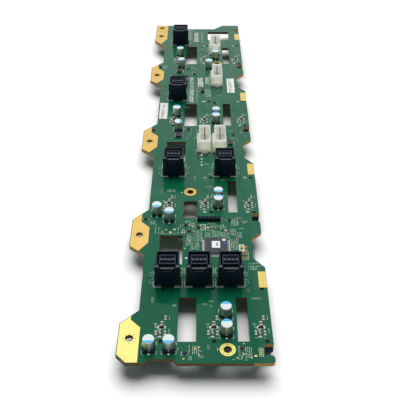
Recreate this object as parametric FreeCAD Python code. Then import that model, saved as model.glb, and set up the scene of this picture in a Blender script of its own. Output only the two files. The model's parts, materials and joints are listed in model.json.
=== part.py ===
"""Drive backplane board for a server with twelve front bays, four columns of three.

The board lies flat on its drive receptacles. X runs across the board, Y along it and Z up, and the
origin is under the middle of the whole part. Layout positions are first given from the middle row
of bays (x) and the first column's near pegs (y), on the board, and moved to the origin when saved.
"""
import FreeCAD, Part
import math
import os

# Bay grid, millimetres
ROW_PITCH = 28.0
COLUMN_PITCH = 106.5
ROWS = 3
COLUMNS = 4

# Board
BOARD_THICKNESS = 2.4
NEAR_MARGIN = 13.9
FAR_MARGIN = 84.9
RIGHT_MARGIN = 3.2
LEFT_MARGIN = 13.0

# Screw tabs on the left edge, one beyond each column and one at each end
TAB_REACH = 9.9
TAB_START = 65.7
TAB_NEAR_SLOPE = 7.9
TAB_FLAT = 25.4
TAB_FAR_SLOPE = 10.1
NEAR_TAB_CORNER = 5.0
NEAR_TAB_FLAT_END = 12.2
NEAR_TAB_END = 21.7
FAR_TAB_START = 35.7
FAR_TAB_SLOPE = 12.6

# Cut-outs in the board's edges
RECESS_DEPTH = 6.6
RECESS_START = 55.3
RECESS_NEAR_SLOPE = 7.6
RECESS_FLAT = 17.5
RECESS_FAR_SLOPE = 6.3
NOTCH_DEPTH = 4.9
NOTCH_WIDTH = 6.9
NOTCH_START = -8.8
CORNER_RADIUS = 2.0
CORNER_SHARE = 0.9
FAR_NOTCH_START = 70.1
FAR_NOTCH_WIDTH = 5.3
NEAR_RELIEF_DEPTH = 2.6
NEAR_RELIEF_LEFT = -36.1
NEAR_RELIEF_RIGHT = -19.2
NEAR_RELIEF_SLOPE = 1.7
FAR_RELIEF_DEPTH = 8.5
FAR_RELIEF_LEFT = -30.0
FAR_RELIEF_RIGHT = 15.1
FAR_RELIEF_SLOPE = 8.2

# Screw holes
SCREW_HOLE_R = 2.2
TAB_HOLE_INSET = 5.5
TAB_HOLE_Y = 84.3
NEAR_TAB_HOLE_INSET = 6.1
NEAR_TAB_HOLE_Y = 2.1
FAR_TAB_HOLE_YS = (59.5, 78.5)
FIELD_HOLES = ((7.0, -5.3, 0), (-14.0, 21.6, 1), (8.2, 0.3, 3))

# Air windows: middle x, width, start past the column's near pegs, length and column
AIR_WINDOWS = (
    (-14.5, 10.0, -0.1, 31.2, 0),
    (15.8, 6.3, 0.0, 31.1, 0),
    (-13.8, 8.8, -5.7, 17.2, 1),
    (14.4, 6.3, -0.1, 34.0, 1),
    (-14.9, 9.9, -0.3, 33.9, 2),
    (14.2, 6.3, 0.4, 33.5, 2),
    (-15.1, 9.9, -0.5, 36.2, 3),
    (16.7, 6.3, 0.2, 32.7, 3),
    (10.5, 20.3, 50.7, 19.0, 3),
)
REAR_WINDOW_X = -25.2
REAR_WINDOW_WIDTH = 14.2
REAR_WINDOW_GAP = 4.0
REAR_WINDOW_END = 83.6

# Plated pads on the tabs, the right edge and round the field holes
PAD_THICKNESS = 0.1
PAD_EDGE_GAP = 0.4
PAD_INNER = 1.5
PAD_BEND = 4.0
PAD_BEND_NEAR = 11.2
PAD_BEND_FAR = 25.7
PAD_BEND_SLOPE = 5.4
NEAR_PAD_BEND = 9.4
FAR_PAD_BEND = 52.9
EDGE_PAD_GAP = 0.2
EDGE_PAD_WIDTH = 4.5
EDGE_PADS = ((38.8, 12.9, 0), (41.7, 13.2, 1), (38.7, 13.8, 2), (51.0, 13.5, 3))
RING_PAD_ACROSS = 8.4
PAD_SIDES = 12
RING_PAD_SIDES = 20

# Drive receptacles under the board
DRIVE_HEIGHT = 9.4
DRIVE_LENGTH = 43.0
DRIVE_WIDTH = 6.2
DRIVE_BODY_LENGTH = 35.4
DRIVE_FOOT_HEIGHT = 3.4
DRIVE_ARM_WIDTH = 3.2
DRIVE_ARM_TAPER = 0.9
DRIVE_ARM_TAPER_HEIGHT = 1.6
DRIVE_FACE_DROP = 0.9
DRIVE_SLOT_LENGTH = 33.2
DRIVE_SLOT_WIDTH = 2.4
DRIVE_SLOT_DEPTH = 6.4
DRIVE_KEY_LENGTH = 1.5
DRIVE_KEY_REACH = 0.9
PEG_SPACING = 38.0
PEG_ACROSS = 2.0
PEG_HOLE_ACROSS = 2.4
PEG_STOP = 0.6
PEG_SIDES = 6
PEG_HOLE_SIDES = 8

# Cable receptacles on top
CABLE_HEIGHT = 14.7
CABLE_DEPTH = 14.0
CABLE_FRONT_WIDTH = 14.6
CABLE_FRONT_DEPTH = 3.1
CABLE_TOWER_WIDTH = 13.3
CABLE_FOOT_WIDTH = 15.4
CABLE_FOOT_HEIGHT = 3.2
CABLE_FOOT_DEPTH = 4.6
CABLE_WALL = 0.95
CABLE_FLOOR = 3.0
CABLE_LATCH_WIDTH = 9.4
CABLE_CORNER_WIDTH = 2.4
CABLE_CORNER_DEPTH = 0.9
CABLE_CORNER_HEIGHT = 5.6
CATCH_WIDTH = 4.0
CATCH_HEIGHT = 1.0
CATCH_DROP = 2.2
INSERT_WIDTH = 9.7
INSERT_DEPTH = 8.0
INSERT_DROP = 0.5
INSERT_REAR_GAP = 1.7
CARD_SLOT_LENGTH = 8.2
CARD_SLOT_WIDTH = 1.2
CARD_SLOT_DEPTH = 7.0
CARD_SLOT_PITCH = 3.8
HOLD_DOWN_WIDTH = 3.9
HOLD_DOWN_REACH = 1.0
HOLD_DOWN_THICKNESS = 0.3
CABLE_FRONT_Y = 39.9
CABLE_LEFT_X = -25.9
CABLE_X_PITCH = 18.0
CABLE_PLACES = ((0, 0), (1, 0), (2, 0), (0, 1), (2, 1), (0, 2), (0, 3))

# Power headers on top
POWER_WIDTH = 8.7
POWER_HEIGHT = 9.6
POWER_SIDE_WALL = 1.25
POWER_END_WALL = 2.2
POWER_FLOOR = 2.4
POWER_LEDGE_REACH = 1.4
POWER_LEDGE_LENGTH = 15.0
POWER_LEDGE_HEIGHT = 7.4
POWER_FOOT_ACROSS = 5.4
POWER_FOOT_REACH = 1.9
POWER_FOOT_HEIGHT = 1.6
POWER_FOOT_SIDES = 12
POWER_PIN_ACROSS = 1.1
POWER_PIN_PITCH = 5.08
POWER_PIN_HEIGHT = 8.0
POWER_PINS = 4
POWER_PIN_END = 1.68
POWER_KEY = 1.2
POWER_PLACES = ((-3.9, 69.5, 1), (7.7, 69.5, 1), (7.5, 64.0, 2), (7.2, 18.9, 3))

# Can capacitors: x, y past the column's near pegs, column and the way that the marked side faces
CAN_ACROSS = 6.3
CAN_SIDES = 18
CAN_HEIGHT = 6.9
CAN_BASE = 6.6
CAN_BASE_HEIGHT = 0.8
CAN_BASE_CUT = 1.4
CAN_LEAD_WIDTH = 0.7
CAN_LEAD_REACH = 0.8
CAN_LEAD_THICKNESS = 0.3
NEAR = -90.0
FAR = 90.0
RIGHT = 0.0
CAPACITORS = (
    (-33.9, -4.4, 0, NEAR),
    (-23.6, -4.4, 0, NEAR),
    (6.7, 5.9, 0, FAR),
    (6.7, 18.3, 0, FAR),
    (-35.3, -1.1, 1, NEAR),
    (-27.1, -7.0, 1, NEAR),
    (4.6, 6.3, 1, FAR),
    (4.8, 14.6, 1, NEAR),
    (-24.0, -5.3, 2, RIGHT),
    (-25.9, 16.2, 2, FAR),
    (5.1, 5.1, 2, FAR),
    (5.3, 13.5, 2, NEAR),
    (-24.2, -5.6, 3, NEAR),
    (-25.7, 17.7, 3, FAR),
    (0.7, -8.4, 3, NEAR),
    (6.8, 11.0, 3, FAR),
)

# Controller, with gull-wing leads on its four sides
CONTROLLER_X = 2.6
CONTROLLER_Y = 72.8
CONTROLLER_SIZE = 14.0
CONTROLLER_HEIGHT = 1.4
CONTROLLER_LIFT = 0.15
LEAD_SPAN = 16.0
LEAD_PITCH = 0.8
LEAD_WIDTH = 0.37
LEAD_FOOT = 0.6
LEAD_THICKNESS = 0.15
LEADS_PER_SIDE = 16
STICKER_X = -0.2
STICKER_Y = 0.8
STICKER_WIDTH = 5.1
STICKER_LENGTH = 6.0
STICKER_THICKNESS = 0.1

# Six-way signal header
HEADER_X = -1.6
HEADER_Y = -8.0
HEADER_WAYS = 6
HEADER_PITCH = 2.54
HEADER_DEPTH = 2.5
HEADER_HEIGHT = 2.4
HEADER_SOCKET = 1.0
HEADER_SOCKET_DEPTH = 1.6

# Small outline packages: x, y past the column's near pegs, column, width, length
PACKAGE_HEIGHT = 1.5
PACKAGE_LIFT = 0.2
PACKAGE_LEAD_REACH = 0.9
PACKAGE_LEAD_WIDTH = 0.45
PACKAGE_LEAD_THICKNESS = 0.25
PACKAGE_LEADS = 3
PACKAGES = (
    (-23.8, 92.3, 1, 4.6, 6.0),
    (15.5, 81.0, 1, 3.6, 5.0),
    (-25.7, 91.0, 2, 4.6, 5.0),
    (-5.3, 55.4, 2, 3.0, 5.0),
)

# Three-lead transistors: x, y past the column's near pegs, column
TRANSISTOR_WIDTH = 2.9
TRANSISTOR_LENGTH = 1.3
TRANSISTOR_HEIGHT = 1.0
TRANSISTOR_LEAD_REACH = 0.55
TRANSISTOR_LEAD_WIDTH = 0.45
TRANSISTOR_LEAD_THICKNESS = 0.2
TRANSISTORS = (
    (-15.2, -7.6, 0),
    (14.5, -4.3, 0),
    (-8.5, 91.4, 0),
    (-16.4, 93.6, 0),
    (-14.4, 87.6, 0),
    (-42.4, 99.5, 0),
    (11.5, -8.2, 1),
    (-16.3, 101.5, 1),
    (18.2, 93.6, 1),
    (-43.2, 100.1, 1),
    (4.4, 35.8, 2),
    (-18.0, 96.9, 2),
    (-12.5, 85.6, 2),
    (-42.9, 99.5, 2),
)

# Small parts that repeat beside each bay, from its near peg
BAY_BAR_WIDTH = 3.2
BAY_BAR_LENGTH = 1.4
BAY_BAR_HEIGHT = 1.1
BAY_BAR_Y = 9.8
CHIP_WIDTH = 0.8
CHIP_LENGTH = 1.6
CHIP_HEIGHT = 0.5
CHIP_OFFSETS = ((-2.9, 6.0), (-0.7, 4.4), (1.9, 5.7))
FAR_CHIP_OFFSET = (1.8, 16.3)
BAYS_WITHOUT_FAR_CHIP = ((0, 2), (0, 3))
MIDDLE_ROW_SHIFT = -3.9
RIGHT_ROW_SHIFT = -2.7

# Blank paper labels: x, y past the column's near pegs, column, width, length
LABEL_THICKNESS = 0.1
LABELS = {
    "paper_label_left": (-36.9, 22.8, 2, 6.4, 25.2),
    "paper_label_right": (19.0, 65.1, 2, 6.3, 25.4),
}

# Worked out from the above
BOARD_LEFT = -ROW_PITCH - LEFT_MARGIN
BOARD_RIGHT = ROW_PITCH + RIGHT_MARGIN
TAB_EDGE = BOARD_LEFT - TAB_REACH
LAST_COLUMN = (COLUMNS - 1) * COLUMN_PITCH
BOARD_NEAR = -NEAR_MARGIN
BOARD_FAR = LAST_COLUMN + FAR_MARGIN
BOARD_BOTTOM = DRIVE_HEIGHT
BOARD_TOP = BOARD_BOTTOM + BOARD_THICKNESS
SCREW_X = TAB_EDGE + TAB_HOLE_INSET
NEAR_SCREW_X = TAB_EDGE + NEAR_TAB_HOLE_INSET
RECESS_LENGTH = RECESS_NEAR_SLOPE + RECESS_FLAT + RECESS_FAR_SLOPE
NOTCH_LAND = COLUMN_PITCH + NOTCH_START - RECESS_START - RECESS_LENGTH
ROUNDING = min(CORNER_RADIUS, CORNER_SHARE * NOTCH_LAND)
POWER_LENGTH = (POWER_PINS - 1) * POWER_PIN_PITCH + 2 * (POWER_PIN_END + POWER_END_WALL)
ORIGIN = FreeCAD.Vector((TAB_EDGE + BOARD_RIGHT) / 2, (BOARD_NEAR + BOARD_FAR) / 2, 0)


def column_y(column):
    return column * COLUMN_PITCH


def block(x0, x1, y0, y1, z0, z1):
    return Part.makeBox(x1 - x0, y1 - y0, z1 - z0, FreeCAD.Vector(x0, y0, z0))


def centred_block(x, y, width, length, z0, height):
    return block(x - width / 2, x + width / 2, y - length / 2, y + length / 2, z0, z0 + height)


def prism(points, z0, height):
    """Upright prism on a closed outline of (x, y) points."""
    corners = [FreeCAD.Vector(x, y, z0) for x, y in points]
    face = Part.Face(Part.makePolygon(corners + corners[:1]))
    return face.extrude(FreeCAD.Vector(0, 0, height))


def post(x, y, across, sides, z0, height):
    """Flat-sided post, measured across its flats."""
    radius = across / 2 / math.cos(math.pi / sides)
    turns = [math.tau * (i + 0.5) / sides for i in range(sides)]
    return prism([(x + radius * math.cos(t), y + radius * math.sin(t)) for t in turns], z0, height)


def drill(x, y, radius, z0, z1):
    return Part.makeCylinder(radius, z1 - z0, FreeCAD.Vector(x, y, z0))


def save(name, shapes):
    """Move the node's solids to the part's origin and write them."""
    solids = []
    for shape in shapes:
        moved = shape.copy()
        moved.translate(-ORIGIN)
        solids.extend(moved.Solids)
    shape = solids[0] if len(solids) == 1 else Part.makeCompound(solids)
    shape.exportStep("parts/" + name + ".step")


def bays():
    """Row, column and near peg of each bay."""
    for column in range(COLUMNS):
        for row in range(ROWS):
            yield row, column, (row - 1) * ROW_PITCH, column_y(column)


def left_edge():
    """The left edge with its tabs, from the far end to the near end."""
    points = [(TAB_EDGE, BOARD_FAR)]
    start = LAST_COLUMN + FAR_TAB_START
    points += [(TAB_EDGE, start + FAR_TAB_SLOPE), (BOARD_LEFT, start)]
    for column in reversed(range(COLUMNS - 1)):
        start = column_y(column) + TAB_START
        flat = start + TAB_NEAR_SLOPE
        points += [(BOARD_LEFT, flat + TAB_FLAT + TAB_FAR_SLOPE), (TAB_EDGE, flat + TAB_FLAT)]
        points += [(TAB_EDGE, flat), (BOARD_LEFT, start)]
    points += [(BOARD_LEFT, NEAR_TAB_END), (TAB_EDGE, NEAR_TAB_FLAT_END)]
    points += [(TAB_EDGE, BOARD_NEAR + NEAR_TAB_CORNER), (TAB_EDGE + NEAR_TAB_CORNER, BOARD_NEAR)]
    return points


def right_edge():
    """The right edge with its notches and recesses, from the near end to the far end."""
    notch_x = BOARD_RIGHT - NOTCH_DEPTH
    recess_x = BOARD_RIGHT - RECESS_DEPTH
    points = [(BOARD_RIGHT, BOARD_NEAR)]
    for column in range(COLUMNS):
        near = column_y(column) + NOTCH_START
        points += [(BOARD_RIGHT, near), (notch_x, near)]
        points += [(notch_x, near + NOTCH_WIDTH), (BOARD_RIGHT, near + NOTCH_WIDTH)]
        if column < COLUMNS - 1:
            start = column_y(column) + RECESS_START
            flat = start + RECESS_NEAR_SLOPE
            points += [(BOARD_RIGHT, start), (recess_x, flat), (recess_x, flat + RECESS_FLAT)]
            points += [(BOARD_RIGHT, flat + RECESS_FLAT + RECESS_FAR_SLOPE)]
    near = LAST_COLUMN + FAR_NOTCH_START
    points += [(BOARD_RIGHT, near), (notch_x, near)]
    points += [(notch_x, near + FAR_NOTCH_WIDTH), (BOARD_RIGHT, near + FAR_NOTCH_WIDTH)]
    points += [(BOARD_RIGHT, BOARD_FAR)]
    return points


def board_outline():
    near_relief = BOARD_NEAR + NEAR_RELIEF_DEPTH
    far_relief = BOARD_FAR - FAR_RELIEF_DEPTH
    near_end = [
        (NEAR_RELIEF_LEFT, BOARD_NEAR),
        (NEAR_RELIEF_LEFT + NEAR_RELIEF_SLOPE, near_relief),
        (NEAR_RELIEF_RIGHT - NEAR_RELIEF_SLOPE, near_relief),
        (NEAR_RELIEF_RIGHT, BOARD_NEAR),
    ]
    far_end = [
        (FAR_RELIEF_RIGHT, BOARD_FAR),
        (FAR_RELIEF_RIGHT - FAR_RELIEF_SLOPE, far_relief),
        (FAR_RELIEF_LEFT + FAR_RELIEF_SLOPE, far_relief),
        (FAR_RELIEF_LEFT, BOARD_FAR),
    ]
    return left_edge() + near_end + right_edge() + far_end


def rounded_corners():
    """Outer corners of the board that are rounded, on its right edge."""
    corners = [(BOARD_RIGHT, BOARD_NEAR), (BOARD_RIGHT, BOARD_FAR)]
    corners += [(BOARD_RIGHT, column_y(column) + NOTCH_START) for column in range(COLUMNS)]
    return corners


def stands_at(edge, x, y):
    """Whether an edge of the board is the upright one at a corner."""
    return all(math.hypot(v.X - x, v.Y - y) < PAD_THICKNESS for v in edge.Vertexes)


def rear_windows():
    """Start and end of the wide window behind each left cable receptacle but the last."""
    for column in range(COLUMNS - 1):
        start = column_y(column) + CABLE_FRONT_Y + CABLE_DEPTH + REAR_WINDOW_GAP
        yield start, column_y(column) + REAR_WINDOW_END


def tab_holes():
    places = [(NEAR_SCREW_X, NEAR_TAB_HOLE_Y)]
    places += [(SCREW_X, column_y(column) + TAB_HOLE_Y) for column in range(COLUMNS - 1)]
    places += [(SCREW_X, LAST_COLUMN + y) for y in FAR_TAB_HOLE_YS]
    return places


def field_holes():
    return [(x, column_y(column) + y) for x, y, column in FIELD_HOLES]


def board():
    low, high = BOARD_BOTTOM - 1, BOARD_TOP + 1
    cuts = []
    for x, width, start, length, column in AIR_WINDOWS:
        y = column_y(column) + start
        cuts.append(block(x - width / 2, x + width / 2, y, y + length, low, high))
    for start, end in rear_windows():
        half = REAR_WINDOW_WIDTH / 2
        cuts.append(block(REAR_WINDOW_X - half, REAR_WINDOW_X + half, start, end, low, high))
    for x, y in tab_holes() + field_holes():
        cuts.append(drill(x, y, SCREW_HOLE_R, low, high))
    for row, column, x, y in bays():
        for peg_y in (y, y + PEG_SPACING):
            cuts.append(post(x, peg_y, PEG_HOLE_ACROSS, PEG_HOLE_SIDES, low, high - low))
    plate = prism(board_outline(), BOARD_BOTTOM, BOARD_THICKNESS)
    sharp = [edge for edge in plate.Edges if any(stands_at(edge, x, y) for x, y in rounded_corners())]
    rounded = plate.makeFillet(ROUNDING, sharp)
    save("board", [rounded.cut(Part.makeCompound(cuts))])


def slope_y(x, root, tip, gap):
    """Y on a tab's sloping edge, from its root on the board to its tip, set in by a gap."""
    share = (BOARD_LEFT - x) / TAB_REACH
    slant = math.hypot(TAB_REACH, tip - root) / TAB_REACH
    return root + (tip - root) * share + gap * slant


def pad_hole(x, y):
    """Opening in a pad, just outside the screw hole's wall."""
    return post(x, y, 2 * SCREW_HOLE_R, PAD_SIDES, BOARD_TOP, PAD_THICKNESS)


def tab_pads():
    """Plated face of each tab, set in from the board's edge, with its screw holes."""
    outer = TAB_EDGE + PAD_EDGE_GAP
    inner = BOARD_LEFT + PAD_INNER
    bend = BOARD_LEFT - PAD_BEND
    near = BOARD_NEAR + PAD_EDGE_GAP
    far = BOARD_FAR - PAD_EDGE_GAP
    fields = [[
        (outer, near + NEAR_TAB_CORNER),
        (outer + NEAR_TAB_CORNER, near),
        (inner, near),
        (inner, NEAR_PAD_BEND),
        (bend, NEAR_PAD_BEND + PAD_BEND_SLOPE),
        (bend, slope_y(bend, NEAR_TAB_END, NEAR_TAB_FLAT_END, -PAD_EDGE_GAP)),
        (outer, slope_y(outer, NEAR_TAB_END, NEAR_TAB_FLAT_END, -PAD_EDGE_GAP)),
    ]]
    for column in range(COLUMNS - 1):
        start = column_y(column) + TAB_START
        flat = start + TAB_NEAR_SLOPE
        end = flat + TAB_FLAT
        fields.append([
            (outer, slope_y(outer, start, flat, PAD_EDGE_GAP)),
            (bend, slope_y(bend, start, flat, PAD_EDGE_GAP)),
            (inner, start + PAD_BEND_NEAR),
            (inner, start + PAD_BEND_FAR),
            (bend, start + PAD_BEND_FAR + PAD_BEND_SLOPE),
            (bend, slope_y(bend, end + TAB_FAR_SLOPE, end, -PAD_EDGE_GAP)),
            (outer, slope_y(outer, end + TAB_FAR_SLOPE, end, -PAD_EDGE_GAP)),
        ])
    start = LAST_COLUMN + FAR_TAB_START
    fields.append([
        (outer, slope_y(outer, start, start + FAR_TAB_SLOPE, PAD_EDGE_GAP)),
        (bend, slope_y(bend, start, start + FAR_TAB_SLOPE, PAD_EDGE_GAP)),
        (inner, LAST_COLUMN + FAR_PAD_BEND),
        (inner, far),
        (outer, far),
    ])
    holes = Part.makeCompound([pad_hole(x, y) for x, y in tab_holes()])
    save("tab_pads", [prism(field, BOARD_TOP, PAD_THICKNESS).cut(holes) for field in fields])


def edge_pads():
    """Plain plated contact pads along the right edge."""
    high = BOARD_RIGHT - EDGE_PAD_GAP
    pads = []
    for start, length, column in EDGE_PADS:
        y = column_y(column) + start
        pads.append(block(high - EDGE_PAD_WIDTH, high, y, y + length, BOARD_TOP, BOARD_TOP + PAD_THICKNESS))
    save("edge_pads", pads)


def ring_pads():
    """Plated ring round each screw hole in the board's field."""
    rings = []
    for x, y in field_holes():
        disc = post(x, y, RING_PAD_ACROSS, RING_PAD_SIDES, BOARD_TOP, PAD_THICKNESS)
        rings.append(disc.cut(pad_hole(x, y)))
    save("ring_pads", rings)


def profile_along_y(points, y0, y1):
    """Prism on a closed outline of (x, z) points, run along Y."""
    corners = [FreeCAD.Vector(x, y0, z) for x, z in points]
    face = Part.Face(Part.makePolygon(corners + corners[:1]))
    return face.extrude(FreeCAD.Vector(0, y1 - y0, 0))


def drive_slot(x, y, low, high):
    """Card slot of a drive receptacle, with a keying leg at each end."""
    half_length = DRIVE_SLOT_LENGTH / 2
    half_width = DRIVE_SLOT_WIDTH / 2
    leg_x = half_width + DRIVE_KEY_REACH
    leg_y = half_length - DRIVE_KEY_LENGTH
    outline = [
        (-half_width, -half_length),
        (leg_x, -half_length),
        (leg_x, -leg_y),
        (half_width, -leg_y),
        (half_width, leg_y),
        (leg_x, leg_y),
        (leg_x, half_length),
        (-half_width, half_length),
    ]
    return prism([(x + px, y + py) for px, py in outline], low, high - low)


def drive_receptacle(x, y):
    """Moulded body with a keyed card slot, two locating pegs, and a foot and guide arm at each end."""
    middle = y + PEG_SPACING / 2
    left = x - DRIVE_WIDTH / 2
    right = x + DRIVE_WIDTH / 2
    arm = left + DRIVE_ARM_WIDTH
    arm_profile = [
        (left, DRIVE_HEIGHT),
        (left, DRIVE_ARM_TAPER_HEIGHT),
        (left + DRIVE_ARM_TAPER, 0),
        (arm - DRIVE_ARM_TAPER, 0),
        (arm, DRIVE_ARM_TAPER_HEIGHT),
        (arm, DRIVE_HEIGHT - DRIVE_FOOT_HEIGHT),
        (right, DRIVE_HEIGHT - DRIVE_FOOT_HEIGHT),
        (right, DRIVE_HEIGHT),
    ]
    arms = profile_along_y(arm_profile, middle - DRIVE_LENGTH / 2, middle + DRIVE_LENGTH / 2)
    body = centred_block(x, middle, DRIVE_WIDTH, DRIVE_BODY_LENGTH, 0, DRIVE_HEIGHT)
    face = centred_block(x, middle, DRIVE_WIDTH, DRIVE_BODY_LENGTH, 0, DRIVE_FACE_DROP)
    slot = drive_slot(x, middle, 0, DRIVE_FACE_DROP + DRIVE_SLOT_DEPTH)
    housing = arms.fuse(body).cut(Part.makeCompound([face, slot]))
    peg_height = BOARD_THICKNESS - PEG_STOP
    ends = (y, y + PEG_SPACING)
    pegs = [post(x, end, PEG_ACROSS, PEG_SIDES, DRIVE_HEIGHT, peg_height) for end in ends]
    return housing.fuse(pegs).removeSplitter()


def drive_receptacles():
    for number, (row, column, x, y) in enumerate(bays(), 1):
        save(f"drive_receptacle_{number:02d}", [drive_receptacle(x, y)])


def corner_cut(x, side, y):
    """Slim wedge taken off a front top corner of a cable receptacle; side is -1 or 1."""
    corner = x + side * CABLE_FRONT_WIDTH / 2
    top = BOARD_TOP + CABLE_HEIGHT
    tip = FreeCAD.Vector(corner, y, top - CABLE_CORNER_HEIGHT)
    apex = FreeCAD.Vector(corner, y, top)
    inner = FreeCAD.Vector(corner - side * CABLE_CORNER_WIDTH, y, top)
    rear = FreeCAD.Vector(corner, y + CABLE_CORNER_DEPTH, top)
    triangles = [(tip, apex, inner), (tip, apex, rear), (tip, inner, rear), (apex, inner, rear)]
    faces = [Part.Face(Part.makePolygon(list(t) + [t[0]])) for t in triangles]
    return Part.makeSolid(Part.makeShell(faces))


def cable_places():
    """Number, middle X and front Y of each cable receptacle."""
    for number, (place, column) in enumerate(CABLE_PLACES, 1):
        yield number, CABLE_LEFT_X + place * CABLE_X_PITCH, column_y(column) + CABLE_FRONT_Y


def cable_receptacle(x, y):
    """Open-topped tower with a wider latch housing in front and feet at its front corners."""
    half_front = CABLE_FRONT_WIDTH / 2
    half_tower = CABLE_TOWER_WIDTH / 2
    step = y + CABLE_FRONT_DEPTH
    rear = y + CABLE_DEPTH
    top = BOARD_TOP + CABLE_HEIGHT
    outline = [
        (x - half_front, y),
        (x + half_front, y),
        (x + half_front, step),
        (x + half_tower, step),
        (x + half_tower, rear),
        (x - half_tower, rear),
        (x - half_tower, step),
        (x - half_front, step),
    ]
    half_latch = CABLE_LATCH_WIDTH / 2
    half_inside = half_tower - CABLE_WALL
    well = [
        (x - half_latch, y + CABLE_WALL),
        (x + half_latch, y + CABLE_WALL),
        (x + half_latch, step),
        (x + half_inside, step),
        (x + half_inside, rear - CABLE_WALL),
        (x - half_inside, rear - CABLE_WALL),
        (x - half_inside, step),
        (x - half_latch, step),
    ]
    half_foot = CABLE_FOOT_WIDTH / 2
    foot = block(x - half_foot, x + half_foot, y, y + CABLE_FOOT_DEPTH,
                 BOARD_TOP, BOARD_TOP + CABLE_FOOT_HEIGHT)
    catch = block(x - CATCH_WIDTH / 2, x + CATCH_WIDTH / 2, y, y + CABLE_WALL,
                  top - CATCH_DROP - CATCH_HEIGHT, top - CATCH_DROP)
    cuts = [
        prism(well, BOARD_TOP + CABLE_FLOOR, CABLE_HEIGHT - CABLE_FLOOR),
        catch,
        corner_cut(x, -1, y),
        corner_cut(x, 1, y),
    ]
    tower = prism(outline, BOARD_TOP, CABLE_HEIGHT)
    return tower.fuse(foot).cut(Part.makeCompound(cuts)).removeSplitter()


def cable_insert(x, y):
    """Contact block in a cable receptacle's well, with two card slots."""
    rear = y + CABLE_DEPTH - CABLE_WALL - INSERT_REAR_GAP
    middle = rear - INSERT_DEPTH / 2
    low = BOARD_TOP + CABLE_FLOOR
    high = BOARD_TOP + CABLE_HEIGHT - INSERT_DROP
    core = centred_block(x, middle, INSERT_WIDTH, INSERT_DEPTH, low, high - low)
    slots = []
    for side in (-0.5, 0.5):
        slot_y = middle + side * CARD_SLOT_PITCH
        slots.append(centred_block(x, slot_y, CARD_SLOT_LENGTH, CARD_SLOT_WIDTH, high - CARD_SLOT_DEPTH,
                                   CARD_SLOT_DEPTH))
    return core.cut(Part.makeCompound(slots))


def cable_receptacles():
    tabs = []
    for number, x, y in cable_places():
        save(f"cable_receptacle_{number}", [cable_receptacle(x, y)])
        save(f"cable_insert_{number}", [cable_insert(x, y)])
        for side in (-1, 1):
            tab_x = x + side * (CABLE_FOOT_WIDTH - HOLD_DOWN_WIDTH) / 2
            tab_y = y - HOLD_DOWN_REACH / 2
            tabs.append(centred_block(tab_x, tab_y, HOLD_DOWN_WIDTH, HOLD_DOWN_REACH, BOARD_TOP,
                                      HOLD_DOWN_THICKNESS))
    save("cable_hold_downs", tabs)


def power_header(x, y):
    """Shrouded header with a side ledge, a rounded foot in front and a keyed well."""
    half = POWER_WIDTH / 2
    rear = y + POWER_LENGTH
    shell = block(x - half, x + half, y, rear, BOARD_TOP, BOARD_TOP + POWER_HEIGHT)
    ledge = block(x - half - POWER_LEDGE_REACH, x - half, y, y + POWER_LEDGE_LENGTH,
                  BOARD_TOP, BOARD_TOP + POWER_LEDGE_HEIGHT)
    foot_y = y - POWER_FOOT_REACH + POWER_FOOT_ACROSS / 2
    foot = post(x, foot_y, POWER_FOOT_ACROSS, POWER_FOOT_SIDES, BOARD_TOP, POWER_FOOT_HEIGHT)
    inside = half - POWER_SIDE_WALL
    well = [
        (x - inside, y + POWER_END_WALL),
        (x + inside - POWER_KEY, y + POWER_END_WALL),
        (x + inside, y + POWER_END_WALL + POWER_KEY),
        (x + inside, rear - POWER_END_WALL - POWER_KEY),
        (x + inside - POWER_KEY, rear - POWER_END_WALL),
        (x - inside, rear - POWER_END_WALL),
    ]
    hollow = prism(well, BOARD_TOP + POWER_FLOOR, POWER_HEIGHT - POWER_FLOOR)
    return shell.fuse([ledge, foot]).cut(hollow).removeSplitter()


def power_pins(x, y):
    middle = y + POWER_LENGTH / 2
    low = BOARD_TOP + POWER_FLOOR
    height = POWER_PIN_HEIGHT - POWER_FLOOR
    pins = []
    for i in range(POWER_PINS):
        pin_y = middle + POWER_PIN_PITCH * (i - (POWER_PINS - 1) / 2)
        pins.append(centred_block(x, pin_y, POWER_PIN_ACROSS, POWER_PIN_ACROSS, low, height))
    return pins


def power_headers():
    for number, (x, start, column) in enumerate(POWER_PLACES, 1):
        y = column_y(column) + start
        save(f"power_header_{number}", [power_header(x, y)])
        save(f"power_pins_{number}", power_pins(x, y))


def turned(shape, x, y, angle):
    """A shape modelled about the origin with its front towards +X, turned and set down on the board."""
    moved = shape.copy()
    moved.rotate(FreeCAD.Vector(), FreeCAD.Vector(0, 0, 1), angle)
    moved.translate(FreeCAD.Vector(x, y, BOARD_TOP))
    return moved


def capacitors():
    """Surface-mounted can capacitors: a can on a moulded base with a lead on two sides."""
    half = CAN_BASE / 2
    outline = [
        (half, -half),
        (half, half),
        (CAN_BASE_CUT - half, half),
        (-half, half - CAN_BASE_CUT),
        (-half, CAN_BASE_CUT - half),
        (CAN_BASE_CUT - half, -half),
    ]
    base = prism(outline, 0, CAN_BASE_HEIGHT)
    can = post(0, 0, CAN_ACROSS, CAN_SIDES, CAN_BASE_HEIGHT, CAN_HEIGHT)
    reach = half + CAN_LEAD_REACH
    width = CAN_LEAD_WIDTH / 2
    leads = [
        block(half, reach, -width, width, 0, CAN_LEAD_THICKNESS),
        block(-reach, -half, -width, width, 0, CAN_LEAD_THICKNESS),
    ]
    places = [(x, column_y(column) + y, angle) for x, y, column, angle in CAPACITORS]
    save("capacitor_cans", [turned(can, *place) for place in places])
    save("capacitor_bases", [turned(base, *place) for place in places])
    save("capacitor_leads", [turned(lead, *place) for place in places for lead in leads])


def gull_lead(reach, tip, height, thickness, width):
    """Sloping lead along +X, from a package's side at reach down to its foot at tip."""
    profile = [(reach, height), (reach, height + thickness), (tip, thickness), (tip, 0)]
    return profile_along_y(profile, -width / 2, width / 2)


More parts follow.
